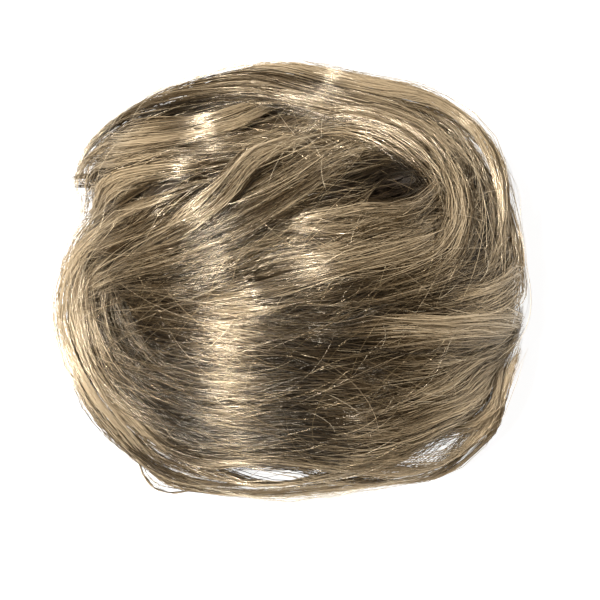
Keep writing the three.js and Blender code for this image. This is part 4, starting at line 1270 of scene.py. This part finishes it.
def add_surroundings():
    """A warm room round the hairpiece, and plain white where the camera sees past the floor."""
    world = bpy.data.worlds.new("studio")
    bpy.context.scene.world = world
    world.use_nodes = True
    nodes = Nodes(world.node_tree)
    way = nodes.add("ShaderNodeTexCoord")
    parts = nodes.add("ShaderNodeSeparateXYZ")
    nodes.join(way.outputs["Generated"], parts.inputs[0])
    rise = nodes.math("ABSOLUTE", parts.outputs["Z"])
    wall = nodes.math("MULTIPLY", rise, HORIZON_FADE, clamp=True)
    background = world.node_tree.nodes["Background"]
    seen = nodes.add("ShaderNodeLightPath").outputs["Is Camera Ray"]
    lit = nodes.mix(wall, WARM_HORIZON, DIM_ZENITH)
    nodes.join(nodes.mix(seen, lit, (1, 1, 1, 1)), background.inputs["Color"])
    bpy.context.scene.view_settings.view_transform = "Standard"


add_camera()
add_floor()
add_surroundings()
add_light("strip_light", place=(-0.3, 0.1, 0.9), size=(0.06, 0.5), watts=31)
add_light("side_light", place=(0.95, -0.1, 0.22), size=(0.4, 1.3), watts=3.5)

colour_group = hair_colour_group()
hair = hair_finish("light_brown_hair", colour_group, **LIGHT_BROWN)
fine_hair = hair_finish("fine_hair", colour_group, **FINE_BROWN)
shaded = hair_finish("shaded_hair", colour_group, **SHADED_BROWN)
under_hair = under_hair_finish()

courses = [lock_course(lock) for lock in LOCKS]
flow = Flow(courses)

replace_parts(mass_body(under_hair), "hair_mass")

for number, (lock, course) in enumerate(zip(LOCKS, courses)):
    rng = np.random.default_rng(LOCK_SEED + number)
    piece = hair_piece(lock["name"] + "_hair", [lock_hairs(lock, course, rng)], hair)
    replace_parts(piece, lock["name"])

loose = []
for number, bundle in enumerate(LOOSE):
    rng = np.random.default_rng(LOOSE_SEED + number)
    loose.append(lock_hairs(bundle, lock_course(bundle), rng))
hair_piece("loose_hair", loose, hair)

# The hairs over the mass, dark as painted shade, with some in the eye, whose own parting doesn't bend them
rng = np.random.default_rng(OTHER_SEED)
starts = dome_seeds(rng, count=1500, low_reach=0, high_reach=1, below=0.15)
over_mass = combed_hairs(rng, flow, starts, **OVER_MASS)
starts = patch_seeds(rng, count=120, middle=(0.42, 0.42), spread=(0.1, 0.07))
in_eye = combed_hairs(rng, flow, starts, **IN_EYE)
hair_piece("mass_hair", [over_mass, in_eye], shaded, PARTINGS[1:])

# The hairs that cover the sides and the foot, fewer at the left
starts = dome_seeds(rng, SIDE_HAIRS, low_reach=0.9, high_reach=1, below=0.9)
at_left = starts[:, 0] <= LEFT_SIDE_EDGE * HALF_WIDTH
starts = starts[~at_left | (rng.random(SIDE_HAIRS) < LEFT_SIDE_SHARE)]
cover = [foot_hairs(rng, *row) for row in FOOT_ROWS]
cover.append(combed_hairs(rng, flow, starts, **ROUND_SIDES))
for hairs, middle, spread, *lie in SIDE_PATCHES:
    cover.append(combed_hairs(rng, flow, patch_seeds(rng, hairs, middle, spread), *lie))
hair_piece("cover_hair", cover, hair)

# Hairs on the surface, then fine ones that fly away from it
starts = dome_seeds(rng, count=1200, low_reach=0, high_reach=0.97, below=0)
surface = flyaway_hairs(rng, flow, starts, radius=SURFACE_HAIR_RADIUS, **ON_SURFACE)
hair_piece("surface_hair", [surface], hair)
starts = dome_seeds(rng, count=750, low_reach=0, high_reach=1, below=0.08)
flying = [flyaway_hairs(rng, flow, starts, **FLYING)]
for hairs, middle, spread, *lie in FLYAWAY_PATCHES:
    flying.append(flyaway_hairs(rng, flow, patch_seeds(rng, hairs, middle, spread), *lie))
hair_piece("flyaway_hair", flying, fine_hair)

# Fine hairs round the rim, but not in its two notches
starts = dome_seeds(rng, count=800, low_reach=0.99, high_reach=1, below=1)
x, y = starts[:, 0] / HALF_WIDTH, starts[:, 1] / HALF_DEPTH
in_notch = np.zeros(len(starts), bool)
for edge, middle, half_height in RIM_NOTCHES:
    in_notch |= (x / edge > 1) & (np.abs(y - middle) < half_height)
rim = flyaway_hairs(rng, flow, starts[~in_notch], **ROUND_RIM)
hair_piece("rim_hair", [rim], fine_hair)

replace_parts(cap_net(net_finish()), "net_cap")
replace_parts(comb_piece(comb_finish()), "comb")
